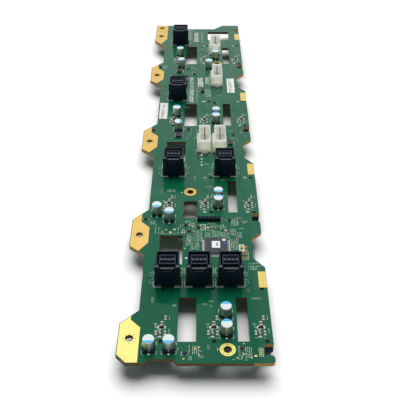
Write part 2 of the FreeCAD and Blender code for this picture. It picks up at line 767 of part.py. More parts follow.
def controller():
    low = BOARD_TOP + CONTROLLER_LIFT
    high = low + CONTROLLER_HEIGHT
    save("controller_body", [centred_block(CONTROLLER_X, CONTROLLER_Y, CONTROLLER_SIZE, CONTROLLER_SIZE,
                                           low, CONTROLLER_HEIGHT)])
    lead = gull_lead(CONTROLLER_SIZE / 2, LEAD_SPAN / 2, CONTROLLER_HEIGHT / 2, LEAD_THICKNESS, LEAD_WIDTH)
    leads = []
    for side in range(4):
        for i in range(LEADS_PER_SIDE):
            offset = LEAD_PITCH * (i - (LEADS_PER_SIDE - 1) / 2)
            shifted = lead.copy()
            shifted.translate(FreeCAD.Vector(0, offset, 0))
            leads.append(turned(shifted, CONTROLLER_X, CONTROLLER_Y, 90 * side))
    save("controller_leads", leads)
    save("controller_sticker", [centred_block(CONTROLLER_X + STICKER_X, CONTROLLER_Y + STICKER_Y,
                                              STICKER_WIDTH, STICKER_LENGTH, high, STICKER_THICKNESS)])


def signal_header():
    """Low header with a row of square sockets."""
    y = column_y(1) + HEADER_Y
    body = centred_block(HEADER_X, y, HEADER_WAYS * HEADER_PITCH, HEADER_DEPTH, BOARD_TOP, HEADER_HEIGHT)
    low = BOARD_TOP + HEADER_HEIGHT - HEADER_SOCKET_DEPTH
    sockets = []
    for way in range(HEADER_WAYS):
        x = HEADER_X + HEADER_PITCH * (way - (HEADER_WAYS - 1) / 2)
        sockets.append(centred_block(x, y, HEADER_SOCKET, HEADER_SOCKET, low, HEADER_SOCKET_DEPTH))
    save("signal_header", [body.cut(Part.makeCompound(sockets))])


def packages():
    """Small outline packages with leads on their left and right sides."""
    bodies, leads = [], []
    for x, start, column, width, length in PACKAGES:
        y = column_y(column) + start
        bodies.append(centred_block(x, y, width, length, BOARD_TOP + PACKAGE_LIFT, PACKAGE_HEIGHT))
        lead = gull_lead(width / 2, width / 2 + PACKAGE_LEAD_REACH, PACKAGE_HEIGHT / 2,
                         PACKAGE_LEAD_THICKNESS, PACKAGE_LEAD_WIDTH)
        for i in range(PACKAGE_LEADS):
            offset = length / PACKAGE_LEADS * (i - (PACKAGE_LEADS - 1) / 2)
            for angle, way in ((0, 1), (180, -1)):
                shifted = lead.copy()
                shifted.translate(FreeCAD.Vector(0, way * offset, 0))
                leads.append(turned(shifted, x, y, angle))
    save("package_bodies", bodies)
    save("package_leads", leads)


def transistors():
    bodies, leads = [], []
    lead = gull_lead(TRANSISTOR_LENGTH / 2, TRANSISTOR_LENGTH / 2 + TRANSISTOR_LEAD_REACH,
                     TRANSISTOR_HEIGHT / 3, TRANSISTOR_LEAD_THICKNESS, TRANSISTOR_LEAD_WIDTH)
    for x, start, column in TRANSISTORS:
        y = column_y(column) + start
        bodies.append(centred_block(x, y, TRANSISTOR_WIDTH, TRANSISTOR_LENGTH, BOARD_TOP, TRANSISTOR_HEIGHT))
        for angle, offset in ((-90, -TRANSISTOR_WIDTH / 3), (-90, TRANSISTOR_WIDTH / 3), (90, 0)):
            shifted = lead.copy()
            shifted.translate(FreeCAD.Vector(0, offset, 0))
            leads.append(turned(shifted, x, y, angle))
    save("transistor_bodies", bodies)
    save("transistor_leads", leads)


def bay_shift(row, column):
    """How far a bay's small parts stand to the side of its near peg."""
    if row == ROWS - 1:
        return RIGHT_ROW_SHIFT
    if row > 0 and column > 0:
        return MIDDLE_ROW_SHIFT
    return 0


def bay_parts():
    """Array and chips that repeat beside every bay."""
    bars, chips = [], []
    for row, column, peg_x, y in bays():
        x = peg_x + bay_shift(row, column)
        bars.append(centred_block(x, y + BAY_BAR_Y, BAY_BAR_WIDTH, BAY_BAR_LENGTH, BOARD_TOP, BAY_BAR_HEIGHT))
        far_chip = () if (row, column) in BAYS_WITHOUT_FAR_CHIP else (FAR_CHIP_OFFSET,)
        for dx, dy in CHIP_OFFSETS + far_chip:
            chips.append(centred_block(x + dx, y + dy, CHIP_WIDTH, CHIP_LENGTH, BOARD_TOP, CHIP_HEIGHT))
    save("bay_arrays", bars)
    save("bay_chips", chips)


def labels():
    for name, (x, start, column, width, length) in LABELS.items():
        save(name, [centred_block(x, column_y(column) + start, width, length, BOARD_TOP, LABEL_THICKNESS)])


def main():
    os.makedirs("parts", exist_ok=True)
    board()
    tab_pads()
    edge_pads()
    ring_pads()
    drive_receptacles()
    cable_receptacles()
    power_headers()
    capacitors()
    controller()
    signal_header()
    packages()
    transistors()
    bay_parts()
    labels()


main()
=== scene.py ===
"""Finishes, small parts and stage of a drive backplane board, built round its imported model.

Shapes are modelled in millimetres in the board's own frame, and a finished piece is brought to metres.
"""

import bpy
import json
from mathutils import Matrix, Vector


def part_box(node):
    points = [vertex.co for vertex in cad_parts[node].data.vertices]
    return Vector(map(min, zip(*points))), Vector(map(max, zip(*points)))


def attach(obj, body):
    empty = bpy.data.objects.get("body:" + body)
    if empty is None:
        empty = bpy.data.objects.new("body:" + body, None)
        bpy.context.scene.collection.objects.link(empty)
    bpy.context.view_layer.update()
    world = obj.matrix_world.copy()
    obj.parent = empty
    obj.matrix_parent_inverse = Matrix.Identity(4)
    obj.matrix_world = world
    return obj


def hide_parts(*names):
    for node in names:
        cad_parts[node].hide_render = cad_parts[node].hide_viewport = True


bl_info = {
    "name": "Drive Backplane Board",
    "version": (1, 0, 0),
    "blender": (4, 5, 0),
    "location": "View3D > Sidebar > Backplane",
    "description": "Finishes and small parts of a drive backplane board, and its studio stage",
    "category": "Object",
}

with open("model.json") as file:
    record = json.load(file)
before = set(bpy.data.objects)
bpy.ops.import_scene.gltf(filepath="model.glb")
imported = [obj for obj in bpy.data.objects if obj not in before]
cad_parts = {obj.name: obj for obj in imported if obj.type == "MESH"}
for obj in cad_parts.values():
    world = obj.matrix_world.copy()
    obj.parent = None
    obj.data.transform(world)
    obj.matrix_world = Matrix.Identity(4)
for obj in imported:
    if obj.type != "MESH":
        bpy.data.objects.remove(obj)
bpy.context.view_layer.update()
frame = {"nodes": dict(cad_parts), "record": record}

import json
import math
import random

import bmesh
import bpy
from bpy.props import FloatProperty, FloatVectorProperty, IntProperty, PointerProperty
from mathutils import Matrix, Vector
from mathutils.bvhtree import BVHTree

TO_MM = 1000.0
MERGE = 0.001
FLAT = math.radians(1)
SHARP = math.radians(30)
CREASE = math.radians(50)
ABOVE = 1.0

# The bay grid; its places are read from the drive receptacles under the board
ROWS = 3
COLUMNS = 4
PEG_SPACING = 38.0


def box(node):
    """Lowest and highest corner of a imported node, in millimetres."""
    low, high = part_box(node)
    return low * TO_MM, high * TO_MM


def middle(node):
    low, high = box(node)
    return (low + high) / 2


def grown(low, high, x, y):
    """A rectangle widened on each side."""
    reach = Vector((x, y, 0))
    return low - reach, high + reach


def spread(count, pitch):
    """Offsets of an even row's members from its middle."""
    return [pitch * (i - (count - 1) / 2) for i in range(count)]


BOARD_LOW, BOARD_HIGH = box("board")
TOP = BOARD_HIGH.z
UNDER = BOARD_LOW.z
ROW_X = [middle(f"drive_receptacle_{row + 1:02d}").x for row in range(ROWS)]
COLUMN_Y = [middle(f"drive_receptacle_{ROWS * c + 1:02d}").y - PEG_SPACING / 2 for c in range(COLUMNS)]
CABLE_NUMBERS = range(1, 8)
POWER_NUMBERS = range(1, 5)
DRIVE_NUMBERS = range(1, ROWS * COLUMNS + 1)


def place(x, y, column=0, z=0.0):
    """A place on the board, from the middle row of bays and the column's near pegs."""
    return Vector((ROW_X[1] + x, COLUMN_Y[column] + y, TOP + z))


def bays():
    """Row, column and near peg of each bay."""
    for column in range(COLUMNS):
        for row in range(ROWS):
            yield row, column, Vector((ROW_X[row], COLUMN_Y[column], TOP))


def screw_holes():
    """Middle of each screw hole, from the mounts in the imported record."""
    holes = []
    for mount in frame["record"]["mounts"]:
        where = Vector(mount["pos_m"]) * TO_MM
        if mount["kind"] == "bore" and "screw" in mount["name"]:
            holes.append(where)
        elif mount["kind"] == "bolt_pattern":
            half = Vector((0, mount["dims"]["spacing_y_mm"] / 2, 0))
            holes += [where - half, where + half]
    return [Vector((hole.x, hole.y, TOP)) for hole in holes]


def windows():
    """Lowest and highest corner of each window through the board."""
    found = []
    for opening in frame["record"]["physics"]["openings"]:
        if "window" in opening["name"]:
            low, high = (Vector(corner) * TO_MM for corner in opening["box_m"])
            found.append((low, high))
    return found


class BackplaneColours(bpy.types.PropertyGroup):
    """Colours of the board's finishes."""

    mask: FloatVectorProperty(
        name="Solder mask", description="Green mask over bare laminate",
        subtype="COLOR", min=0, max=1, default=(0.0012, 0.102, 0.049))
    mask_copper: FloatVectorProperty(
        name="Mask over copper", description="Green mask where copper lies under it",
        subtype="COLOR", min=0, max=1, default=(0.009, 0.135, 0.068))
    laminate: FloatVectorProperty(
        name="Laminate", description="Cut edge of the glass laminate",
        subtype="COLOR", min=0, max=1, default=(0.18, 0.13, 0.056))
    # Lighter copy of the laminate, a painted highlight for the lit cut walls
    lit_laminate: FloatVectorProperty(
        name="Bright laminate", description="Laminate in the notches of the right edge",
        subtype="COLOR", min=0, max=1, default=(0.75, 0.45, 0.14))
    gold: FloatVectorProperty(
        name="Gold plating", description="Screw lands and contact pads",
        subtype="COLOR", min=0, max=1, default=(0.89, 0.79, 0.255))
    moulding: FloatVectorProperty(
        name="Black moulding", description="Receptacle housings",
        subtype="COLOR", min=0, max=1, default=(0.007, 0.017, 0.029))
    nylon: FloatVectorProperty(
        name="Ivory nylon", description="Power headers",
        subtype="COLOR", min=0, max=1, default=(0.99, 1.0, 0.85))
    tin: FloatVectorProperty(
        name="Tin", description="Leads, terminals and soldered pads",
        subtype="COLOR", min=0, max=1, default=(0.8, 0.8, 0.76))
    can: FloatVectorProperty(
        name="Can", description="Capacitor cans",
        subtype="COLOR", min=0, max=1, default=(0.5, 0.54, 0.51))
    can_mark: FloatVectorProperty(
        name="Can mark", description="Printed segment on a can's top",
        subtype="COLOR", min=0, max=1, default=(0.07, 0.58, 0.95))
    epoxy: FloatVectorProperty(
        name="Package epoxy", description="Moulded packages",
        subtype="COLOR", min=0, max=1, default=(0.026, 0.032, 0.037))
    ink: FloatVectorProperty(
        name="Legend ink", description="Printed outlines on the mask",
        subtype="COLOR", min=0, max=1, default=(0.6, 0.72, 0.6))
    paper: FloatVectorProperty(
        name="Paper", description="Blank labels",
        subtype="COLOR", min=0, max=1, default=(0.86, 0.86, 0.86))


class BackplaneSizes(bpy.types.PropertyGroup):
    """Sizes of the edges and small parts."""

    moulded_edge: FloatProperty(
        name="Moulded edge", description="Rounding of the housings' edges",
        unit="LENGTH", min=0.00002, max=0.0005, default=0.00016)
    cut_edge: FloatProperty(
        name="Package edge", description="Rounding of the small packages' edges",
        unit="LENGTH", min=0.00001, max=0.0003, default=0.0001)
    trace_width: FloatProperty(
        name="Trace width", description="Width of a signal trace under the mask",
        unit="LENGTH", min=0.0001, max=0.001, default=0.00028)
    legend_width: FloatProperty(
        name="Legend width", description="Width of a printed legend line",
        unit="LENGTH", min=0.0001, max=0.001, default=0.00022)
    scatter_seed: IntProperty(
        name="Scatter seed", description="Start of the scatter of loose chips and vias",
        min=0, default=8)


def colours():
    return bpy.context.scene.backplane_colours


def sizes():
    return bpy.context.scene.backplane_sizes


class Signal:
    """A number in a material's nodes. Arithmetic on it adds Math nodes."""

    def __init__(self, finish, socket):
        self.finish = finish
        self.socket = socket

    def maths(self, operation, *values):
        return self.finish.node("ShaderNodeMath", dict(enumerate(values)), operation=operation)

    def __add__(self, other):
        return self.maths("ADD", self, other)

    def __sub__(self, other):
        return self.maths("SUBTRACT", self, other)

    def __rsub__(self, other):
        return self.maths("SUBTRACT", other, self)

    def __mul__(self, other):
        return self.maths("MULTIPLY", self, other)

    def __lt__(self, other):
        return self.maths("LESS_THAN", self, other)

    def __gt__(self, other):
        return self.maths("GREATER_THAN", self, other)

    def __abs__(self):
        return self.maths("ABSOLUTE", self)

    __radd__ = __add__

    def fraction(self):
        return self.maths("FRACT", self)

    def at_most(self, other):
        return self.maths("MINIMUM", self, other)

    def at_least(self, other):
        return self.maths("MAXIMUM", self, other)


class Nodes:
    """A node tree that is filled one node at a time."""

    def __init__(self, tree):
        self.tree = tree
        self.tree.nodes.clear()

    def node(self, kind, sockets=None, output=0, **settings):
        """Add a node: its settings first, then values or links for its sockets."""
        made = self.tree.nodes.new(kind)
        for name, value in settings.items():
            setattr(made, name, value)
        for name, value in (sockets or {}).items():
            if isinstance(value, Signal):
                self.tree.links.new(value.socket, made.inputs[name])
            else:
                made.inputs[name].default_value = value
        return Signal(self, made.outputs[output] if len(made.outputs) else None)


# Numbers of node sockets
COLOUR_A = 6
COLOUR_B = 7
COLOUR_RESULT = 2
OBJECT_COORDINATES = 3
CAMERA_RAY = 0
GLOSSY_RAY = 3
TRANSMISSION_RAY = 6


def by_socket(values):
    """Values under the names of their sockets."""
    return {name.replace("_", " ").title(): value for name, value in values.items()}


class Finish(Nodes):
    """A surface material. Its coordinates are millimetres in the board's own frame."""

    def __init__(self, name, specular_level=None, **constants):
        self.material = bpy.data.materials.new(name)
        self.material.use_nodes = True
        super().__init__(self.material.node_tree)
        self.constants = by_socket(constants)
        if specular_level is not None:
            self.constants["Specular IOR Level"] = specular_level
        coordinates = self.node("ShaderNodeTexCoord", output=OBJECT_COORDINATES)
        self.point = self.node("ShaderNodeMapping", {"Vector": coordinates, "Scale": (TO_MM,) * 3})

    def axes(self):
        return [self.node("ShaderNodeSeparateXYZ", {0: self.point}, output=i) for i in range(3)]

    def noise(self, size, detail=2.0, stretch=(1, 1, 1)):
        """Soft noise from 0 to 1 with features of about a size, longer where it is stretched."""
        vector = self.point
        if stretch != (1, 1, 1):
            scale = tuple(1 / s for s in stretch)
            vector = self.node("ShaderNodeMapping", {"Vector": self.point, "Scale": scale})
        return self.node("ShaderNodeTexNoise", {"Vector": vector, "Scale": 1 / size, "Detail": detail})

    def cells(self, size):
        """Distance from the middles of cells of about a size."""
        return self.node("ShaderNodeTexVoronoi", {"Vector": self.point, "Scale": 1 / size})

    def ramp(self, axis, start, slope):
        """Rises from 0 at a place on an axis, by a slope for each millimetre, up to 1."""
        return ((axis - start) * slope).at_most(1.0).at_least(0.0)

    def mix(self, mask, a, b):
        """Colour a where the mask is 0 and b where it is 1."""
        values = {0: mask, COLOUR_A: self.colour(a), COLOUR_B: self.colour(b)}
        return self.node("ShaderNodeMix", values, COLOUR_RESULT, data_type="RGBA")

    def colour(self, value):
        return value if isinstance(value, Signal) else (*value, 1.0)

    def surface(self, base, height=None, depth=0.02, **varied):
        """Close the material: base colour, a height for the bump in depth millimetres, other sockets."""
        sockets = {**self.constants, "Base Color": self.colour(base), **by_socket(varied)}
        if height is not None:
            bump = {"Strength": 1.0, "Distance": depth / TO_MM, "Height": height}
            sockets["Normal"] = self.node("ShaderNodeBump", bump)
        shader = self.node("ShaderNodeBsdfPrincipled", sockets)
        self.node("ShaderNodeOutputMaterial", {"Surface": shader})
        return self.material


# Weight of the mask's gloss coat, which mirrors the sky far along the board and near its right edge
COAT = 0.32
# From here along the board the green is also painted lighter, a painted sheen
COAT_FROM_Y = BOARD_LOW.y + 40
COAT_FROM_X = BOARD_HIGH.x - 10

# Cut walls get a painted highlight right of the first place, and on the tabs left of and beyond the others
ORANGE_FROM = BOARD_HIGH.x - 11
TAB_X = BOARD_LOW.x + 14
TAB_Y = BOARD_LOW.y + 40
WALL_SKIN = 0.03

LANES_PER_MM = 1.45
LAYERS_PER_MM = 2.6


def shade(colour, factor):
    return tuple(channel * factor for channel in colour)


def stripes(axis, per_mm, half_width):
    """Mask of even stripes across an axis; a half width is a share of their pitch."""
    return abs((axis * per_mm).fraction() - 0.5) < half_width


def masked_copper(finish, x, y):
    """Green mask over lanes, vias and planes of copper, and the relief that they give it."""
    tones = colours()
    lanes_along = stripes(x, LANES_PER_MM, 0.2) * (finish.noise(9.0, 1.0, (1, 5, 1)) > 0.53)
    lanes_across = stripes(y, LANES_PER_MM, 0.2) * (finish.noise(8.0, 1.0, (4, 1, 1)) > 0.58)
    lanes = lanes_along.at_least(lanes_across)
    via = (finish.cells(3.1) < 0.075) * (finish.noise(16.0, 1.0) > 0.45)
    plane = (finish.noise(26.0, 0.0, (1, 2, 1)) > 0.5) * 0.35
    green = finish.mix(plane.at_least(lanes * 0.6).at_least(via), tones.mask, tones.mask_copper)
    clouds = finish.noise(18.0, 3.0)
    green = finish.mix(clouds * 0.35, green, shade(tones.mask, 0.72))
    return green, lanes * 0.6 + via * 0.5


def cut_laminate(finish, x, y, z):
    """Brown glass laminate of the cut walls, in layers and with fibres, with a painted highlight on the walls
    of the tabs and of the right edge, and in random patches.
    """
    laminate = colours().laminate
    # Painted highlight: the tabs' cut walls are painted lighter
    brown = finish.mix((x < TAB_X) * (y > TAB_Y), laminate, shade(laminate, 3.2))
    # Painted highlight right of ORANGE_FROM, and in lighter random patches
    bright = (x > ORANGE_FROM).at_least(finish.noise(9.0) > 0.68)
    brown = finish.mix(bright, brown, colours().lit_laminate)
    fibres = finish.noise(0.35, 3.0, (3, 3, 1))
    brown = finish.mix(fibres * 0.4, brown, shade(laminate, 0.6))
    return finish.mix(stripes(z, LAYERS_PER_MM, 0.13) * 0.4, brown, shade(laminate, 0.4))


def board_material():
    """Glossy green mask over laminate and copper, and brown glass laminate on every cut wall."""
    finish = Finish("board_mask_and_laminate", specular_level=0.12, coat_roughness=0.08)
    x, y, z = finish.axes()
    wall = (z < TOP - WALL_SKIN) * (z > UNDER + WALL_SKIN)
    green, relief = masked_copper(finish, x, y)
    along = finish.ramp(y, COAT_FROM_Y, 0.01)
    # Painted sheen: the green grows lighter far along the board
    green = finish.mix(along * 0.15, green, (0.012, 0.19, 0.1))
    right = finish.ramp(x, COAT_FROM_X, 0.25)
    grain = finish.noise(0.8, 2.0)
    return finish.surface(
        finish.mix(wall, green, cut_laminate(finish, x, y, z)), height=relief + grain * 0.04, depth=0.02,
        roughness=grain * 0.05 + 0.11 + wall * 0.5, coat_weight=along.at_least(right) * (1 - wall) * COAT)


def gold_material():
    """Immersion gold: satin, with a faint grain and brown handling marks."""
    gold = colours().gold
    finish = Finish("gold_plating", metallic=1.0)
    grain = finish.noise(0.35, 3.0)
    marks = finish.noise(7.0, 4.0)
    base = finish.mix(marks.maths("MULTIPLY_ADD", marks, 1.4, -0.45), gold, shade(gold, 0.82))
    x, y, _ = finish.axes()
    # Painted shade: the pads far along the board are painted darker, more so where x is below zero
    far_pad_shade = (y > COLUMN_Y[0] + PEG_SPACING) * (0.45 + (x < 0) * 0.25)
    base = finish.mix(far_pad_shade, base, (0.76, 0.44, 0.126))
    return finish.surface(base, height=grain, depth=0.004, roughness=0.3 + grain * 0.16)


def moulding_material(name, base, rough, speck=1.6):
    """Glass-filled moulding: matt, with fine lighter flecks and a slight orange peel."""
    finish = Finish(name, specular_level=0.12)
    flecks = finish.noise(0.22, 2.0)
    flow = finish.noise(5.0, 2.0)
    tone = finish.mix(flecks, base, shade(base, speck))
    tone = finish.mix(flow * 0.5, tone, shade(base, 0.8))
    return finish.surface(tone, height=flecks, depth=0.008, roughness=rough + flecks * 0.12)


# Height of the power headers' foot that has a painted glow, an emission that stands in for light through the
# nylon
PAINTED_GLOW_REACH = 8.0


def nylon_material():
    """Ivory nylon: waxy, slightly darker in its flow marks, with a painted glow towards its foot."""
    nylon = colours().nylon
    finish = Finish(
        "ivory_nylon", emission_strength=1.0, subsurface_weight=1.0, subsurface_scale=0.02,
        subsurface_radius=(1.0, 1.0, 0.85))
    flow = finish.noise(4.0, 3.0, (1, 3, 1))
    grain = finish.noise(0.4, 2.0)
    tone = finish.mix(flow, nylon, shade(nylon, 0.97))
    # Painted glow: emission that fades out upwards from the board
    painted_glow = finish.ramp(finish.axes()[2], TOP + PAINTED_GLOW_REACH, -0.16)
    return finish.surface(
        tone, height=grain, depth=0.006, roughness=0.36 + grain * 0.1,
        emission_color=finish.mix(painted_glow, (0, 0, 0), (0.11, 0.115, 0.08)))


def metal_material(name, base, rough, grain_size=0.3, stretch=(1, 1, 1)):
    """Bare metal with a fine uneven grain."""
    finish = Finish(name, metallic=1.0)
    grain = finish.noise(grain_size, 3.0, stretch)
    patches = finish.noise(2.5, 2.0)
    tone = finish.mix(patches, base, shade(base, 0.8))
    return finish.surface(tone, height=grain, depth=0.004, roughness=rough + grain * 0.15)


def can_material():
    """Drawn aluminium, satin near the top and brighter towards the foot."""
    can = colours().can
    finish = Finish("can_aluminium", metallic=1.0)
    grain = finish.noise(0.25, 3.0, (1, 1, 8))
    height = finish.axes()[2] - TOP
    tone = finish.mix(finish.noise(2.5, 2.0), can, shade(can, 0.85))
    return finish.surface(tone, height=grain, depth=0.004, roughness=height * 0.03 + 0.18 + grain * 0.1)


def print_material(name, base, rough=0.45):
    """Printed or lacquered colour, a little uneven; also the painted shade in the headers' wells and in open
    holes.
    """
    finish = Finish(name)
    grain = finish.noise(0.5, 3.0)
    tone = finish.mix(grain, base, shade(base, 0.86))
    return finish.surface(tone, height=grain, depth=0.004, roughness=rough + grain * 0.1)


def epoxy_material(name, base):
    """Moulded epoxy: matt and finely pitted, with smoother worn spots."""
    finish = Finish(name)
    pits = finish.noise(0.14, 2.0)
    wear = finish.noise(3.0, 3.0)
    tone = finish.mix(pits, shade(base, 0.85), shade(base, 1.25))
    return finish.surface(tone, height=pits, depth=0.008, roughness=0.5 + wear * 0.14)


def label_material(name, bands, across, bright=1.0):
    """White paper, with faint plain grey bands where it was printed; the bands run across one axis."""
    paper = shade(colours().paper, bright)
    finish = Finish(name)
    axes = finish.axes()
    low, high = bands
    printed = (axes[across] > low) * (axes[across] < high)
    soft = finish.noise(1.4, 2.0, (1, 3, 1) if across == 0 else (3, 1, 1))
    fibre = finish.noise(0.3, 3.0)
    tone = finish.mix(printed * (soft > 0.46) * 0.8, paper, shade(paper, 0.42))
    tone = finish.mix(fibre * 0.3, tone, shade(paper, 0.8))
    return finish.surface(tone, height=fibre, depth=0.01, roughness=0.7)


def trace_material():
    """Solder mask where it rides over a raised copper trace."""
    tones = colours()
    finish = Finish("mask_over_traces", specular_level=0.12)
    grain = finish.noise(0.8, 2.0)
    tone = finish.mix(finish.noise(12.0, 2.0), tones.mask_copper, shade(tones.mask_copper, 0.8))
    return finish.surface(tone, height=grain, depth=0.003, roughness=0.11 + grain * 0.05)


class Materials(dict):
    """Materials of the board, each made when it is first asked for."""

    def recipes(self):
        """Maker of each material, and what it is given."""
        tones = colours()
        return {
            "board": (board_material,),
            "gold": (gold_material,),
            "moulding": (moulding_material, "black_moulding", tones.moulding, 0.28),
            "contact_block": (moulding_material, "contact_block", tones.moulding, 0.34),
            # Lighter copies of the moulding: painted highlight on the rims, ribs, shoulders, sill, lip and
            # lugs; the grey one also prints the sticker's bars
            "rim": (moulding_material, "worn_moulding", (0.05, 0.054, 0.06), 0.35, 1.2),
            "lug": (moulding_material, "worn_lugs", (0.12, 0.12, 0.13), 0.35, 1.2),
            "nylon": (nylon_material,),
            # Painted shade in the power headers' wells
            "shade": (print_material, "nylon_seam", (0.25, 0.27, 0.19), 0.5),
            # Tin of the header pins, painted darker as shade in the wells
            "pin": (metal_material, "header_pins", (0.4, 0.42, 0.33), 0.45),
            "tin": (metal_material, "tinned_metal", tones.tin, 0.28),
            "chip_tin": (metal_material, "chip_terminals", (0.42, 0.42, 0.39), 0.38),
            "solder": (print_material, "solder", (0.72, 0.74, 0.67), 0.3),
            "can": (can_material,),
            "can_print": (print_material, "can_top_white", (0.84, 0.92, 0.95)),
            "can_mark": (print_material, "can_top_mark", tones.can_mark),
            "epoxy": (epoxy_material, "package_epoxy", tones.epoxy),
            "controller_epoxy": (epoxy_material, "controller_epoxy", shade(tones.epoxy, 1.35)),
            "black_chip": (print_material, "resistor_glaze", (0.012, 0.013, 0.014), 0.3),
            "brown_chip": (print_material, "capacitor_ceramic", (0.17, 0.09, 0.065), 0.4),
            "pink_chip": (print_material, "inductor_ceramic", (0.36, 0.25, 0.24), 0.4),
            "ink": (print_material, "legend_ink", tones.ink, 0.6),
            "copper": (metal_material, "bare_copper", (0.78, 0.30, 0.10), 0.35),
            "white_paint": (print_material, "white_paint", (0.85, 0.88, 0.86), 0.5),
            "blue_paint": (print_material, "blue_paint", (0.03, 0.16, 0.55), 0.5),
            # Dark disc painted as the shade in an open hole
            "bore": (print_material, "dark_bore", (0.05, 0.025, 0.01), 0.6),
            "trace": (trace_material,),
        }

    def __missing__(self, name):
        maker, *given = self.recipes()[name]
        self[name] = maker(*given)
        return self[name]


MATERIALS = Materials()


def soften(bm, width, segments=2):
    """Round the edges of the corners that are sharper than thirty degrees."""
    edges = [edge for edge in bm.edges if edge.is_manifold and edge.calc_face_angle() > SHARP]
    bmesh.ops.bevel(
        bm, geom=edges, offset=width, affect="EDGES", segments=segments, profile=0.5, material=-1,
        clamp_overlap=True)


def copy_of(node):
    """The node's solids in millimetres, with their flat faces whole."""
    bm = bmesh.new()
    bm.from_mesh(frame["nodes"][node].data)
    bmesh.ops.scale(bm, verts=bm.verts, vec=(TO_MM,) * 3)
    bmesh.ops.remove_doubles(bm, verts=bm.verts, dist=MERGE)
    bmesh.ops.dissolve_limit(bm, verts=bm.verts, edges=bm.edges, angle_limit=FLAT)
    return bm


def tree_of(node):
    bm = copy_of(node)
    tree = BVHTree.FromBMesh(bm)
    bm.free()
    return tree


BOARD_TREE = tree_of("board")


def on_board(low, high):
    """Whether the board's top lies under the corners and the middle of a rectangle."""
    spots = [(x, y) for x in (low.x, high.x) for y in (low.y, high.y)]
    spots.append(((low.x + high.x) / 2, (low.y + high.y) / 2))
    down = Vector((0, 0, -1))
    hits = [BOARD_TREE.ray_cast(Vector((x, y, TOP + ABOVE)), down, ABOVE * 1.5)[0] for x, y in spots]
    return None not in hits


def solid_groups(node):
    """The corners of each separate solid of a node."""
    bm = copy_of(node)
    waiting = set(bm.verts)
    groups = []
    while waiting:
        reached = [waiting.pop()]
        group = []
        while reached:
            vert = reached.pop()
            group.append(vert.co.copy())
            for edge in vert.link_edges:
                other = edge.other_vert(vert)
                if other in waiting:
                    waiting.remove(other)
                    reached.append(other)
        groups.append(group)
    bm.free()
    return sorted(groups, key=nearer_first)


def nearer_first(group):
    low, _ = group_box(group)
    return round(low.y, 3), round(low.x, 3)


def group_box(group):
    low = Vector([min(corner[axis] for corner in group) for axis in range(3)])
    high = Vector([max(corner[axis] for corner in group) for axis in range(3)])
    return low, high


def solid_boxes(node):
    return [group_box(group) for group in solid_groups(node)]


def solid_middles(node):
    return [(low + high) / 2 for low, high in solid_boxes(node)]


def mesh_of(bm, name):
    mesh = bpy.data.meshes.new(name)
    bm.to_mesh(mesh)
    bm.free()
    return mesh


def stand(name, data):
    """Put a mesh, light or camera in the scene as an object."""
    made = bpy.data.objects.new(name, data)
    bpy.context.scene.collection.objects.link(made)
    return made


def shape_of(bm):
    """Turn a bmesh into a small reusable shape."""
    bmesh.ops.recalc_face_normals(bm, faces=bm.faces)
    return mesh_of(bm, "shape")


def paint(bm, index):
    for face in bm.faces:
        face.material_index = index
    return bm


def at(location, turn=0.0, scale=(1, 1, 1)):
    """Placing matrix: scaled, turned about Z by degrees, and moved."""
    turned = Matrix.Rotation(math.radians(turn), 4, "Z")
    return Matrix.Translation(location) @ turned @ Matrix.Diagonal((*scale, 1))


class Tray:
    """Gathers copies of shapes into one piece."""

    def __init__(self):
        self.bm = bmesh.new()

    def take(self, shape, matrix):
        """Add a copy of a shape where the matrix puts it."""
        copy = shape.copy()
        copy.transform(matrix)
        self.bm.from_mesh(copy)
        bpy.data.meshes.remove(copy)

    def pour(self, bm):
        """Add a bmesh that is used once."""
        shape = shape_of(bm)
        self.bm.from_mesh(shape)
        bpy.data.meshes.remove(shape)


def finished(bm, name, materials, replaced=()):
    """Bring a piece to metres and hand it to the scene, on the board's body."""
    bmesh.ops.scale(bm, verts=bm.verts, vec=(1 / TO_MM,) * 3)
    mesh = mesh_of(bm, name)
    for material in materials:
        mesh.materials.append(MATERIALS[material])
    mesh.shade_smooth()
    mesh.set_sharp_from_angle(angle=CREASE)
    piece = stand(name, mesh)
    even = piece.modifiers.new("even_normals", "WEIGHTED_NORMAL")
    even.keep_sharp = True
    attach(piece, "root")
    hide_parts(*replaced)
    return piece


def refine(node, name, width, material, segments=2, extra=None, drop=0.0):
    """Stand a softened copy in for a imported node; extra is a tray whose shapes join it.

    Its top is lowered by drop where extra stands on it.
    """
    bm = copy_of(node)
    if drop:
        high = max(vert.co.z for vert in bm.verts)
        top = [vert for vert in bm.verts if vert.co.z > high - MERGE]
        bmesh.ops.translate(bm, verts=top, vec=(0, 0, -drop))
    soften(bm, width, segments)
    if extra is not None:
        shape = shape_of(extra.bm)
        bm.from_mesh(shape)
        bpy.data.meshes.remove(shape)
    return finished(bm, name, [material] if isinstance(material, str) else material, (node,))


def block(size, edge=0.0, taper=0.0, segments=1, material=0):
    """Block standing on z = 0 with softened edges, its top drawn in by a taper on each side."""
    bm = bmesh.new()
    bmesh.ops.create_cube(bm, size=1.0)
    bmesh.ops.translate(bm, verts=bm.verts, vec=(0, 0, 0.5))
    bmesh.ops.scale(bm, verts=bm.verts, vec=size)
    if taper:
        top = [vert for vert in bm.verts if vert.co.z > size[2] / 2]
        draw = (1 - 2 * taper / size[0], 1 - 2 * taper / size[1], 1)
        bmesh.ops.scale(bm, verts=top, vec=draw)
    if edge:
        soften(bm, edge, segments)
    return paint(bm, material)


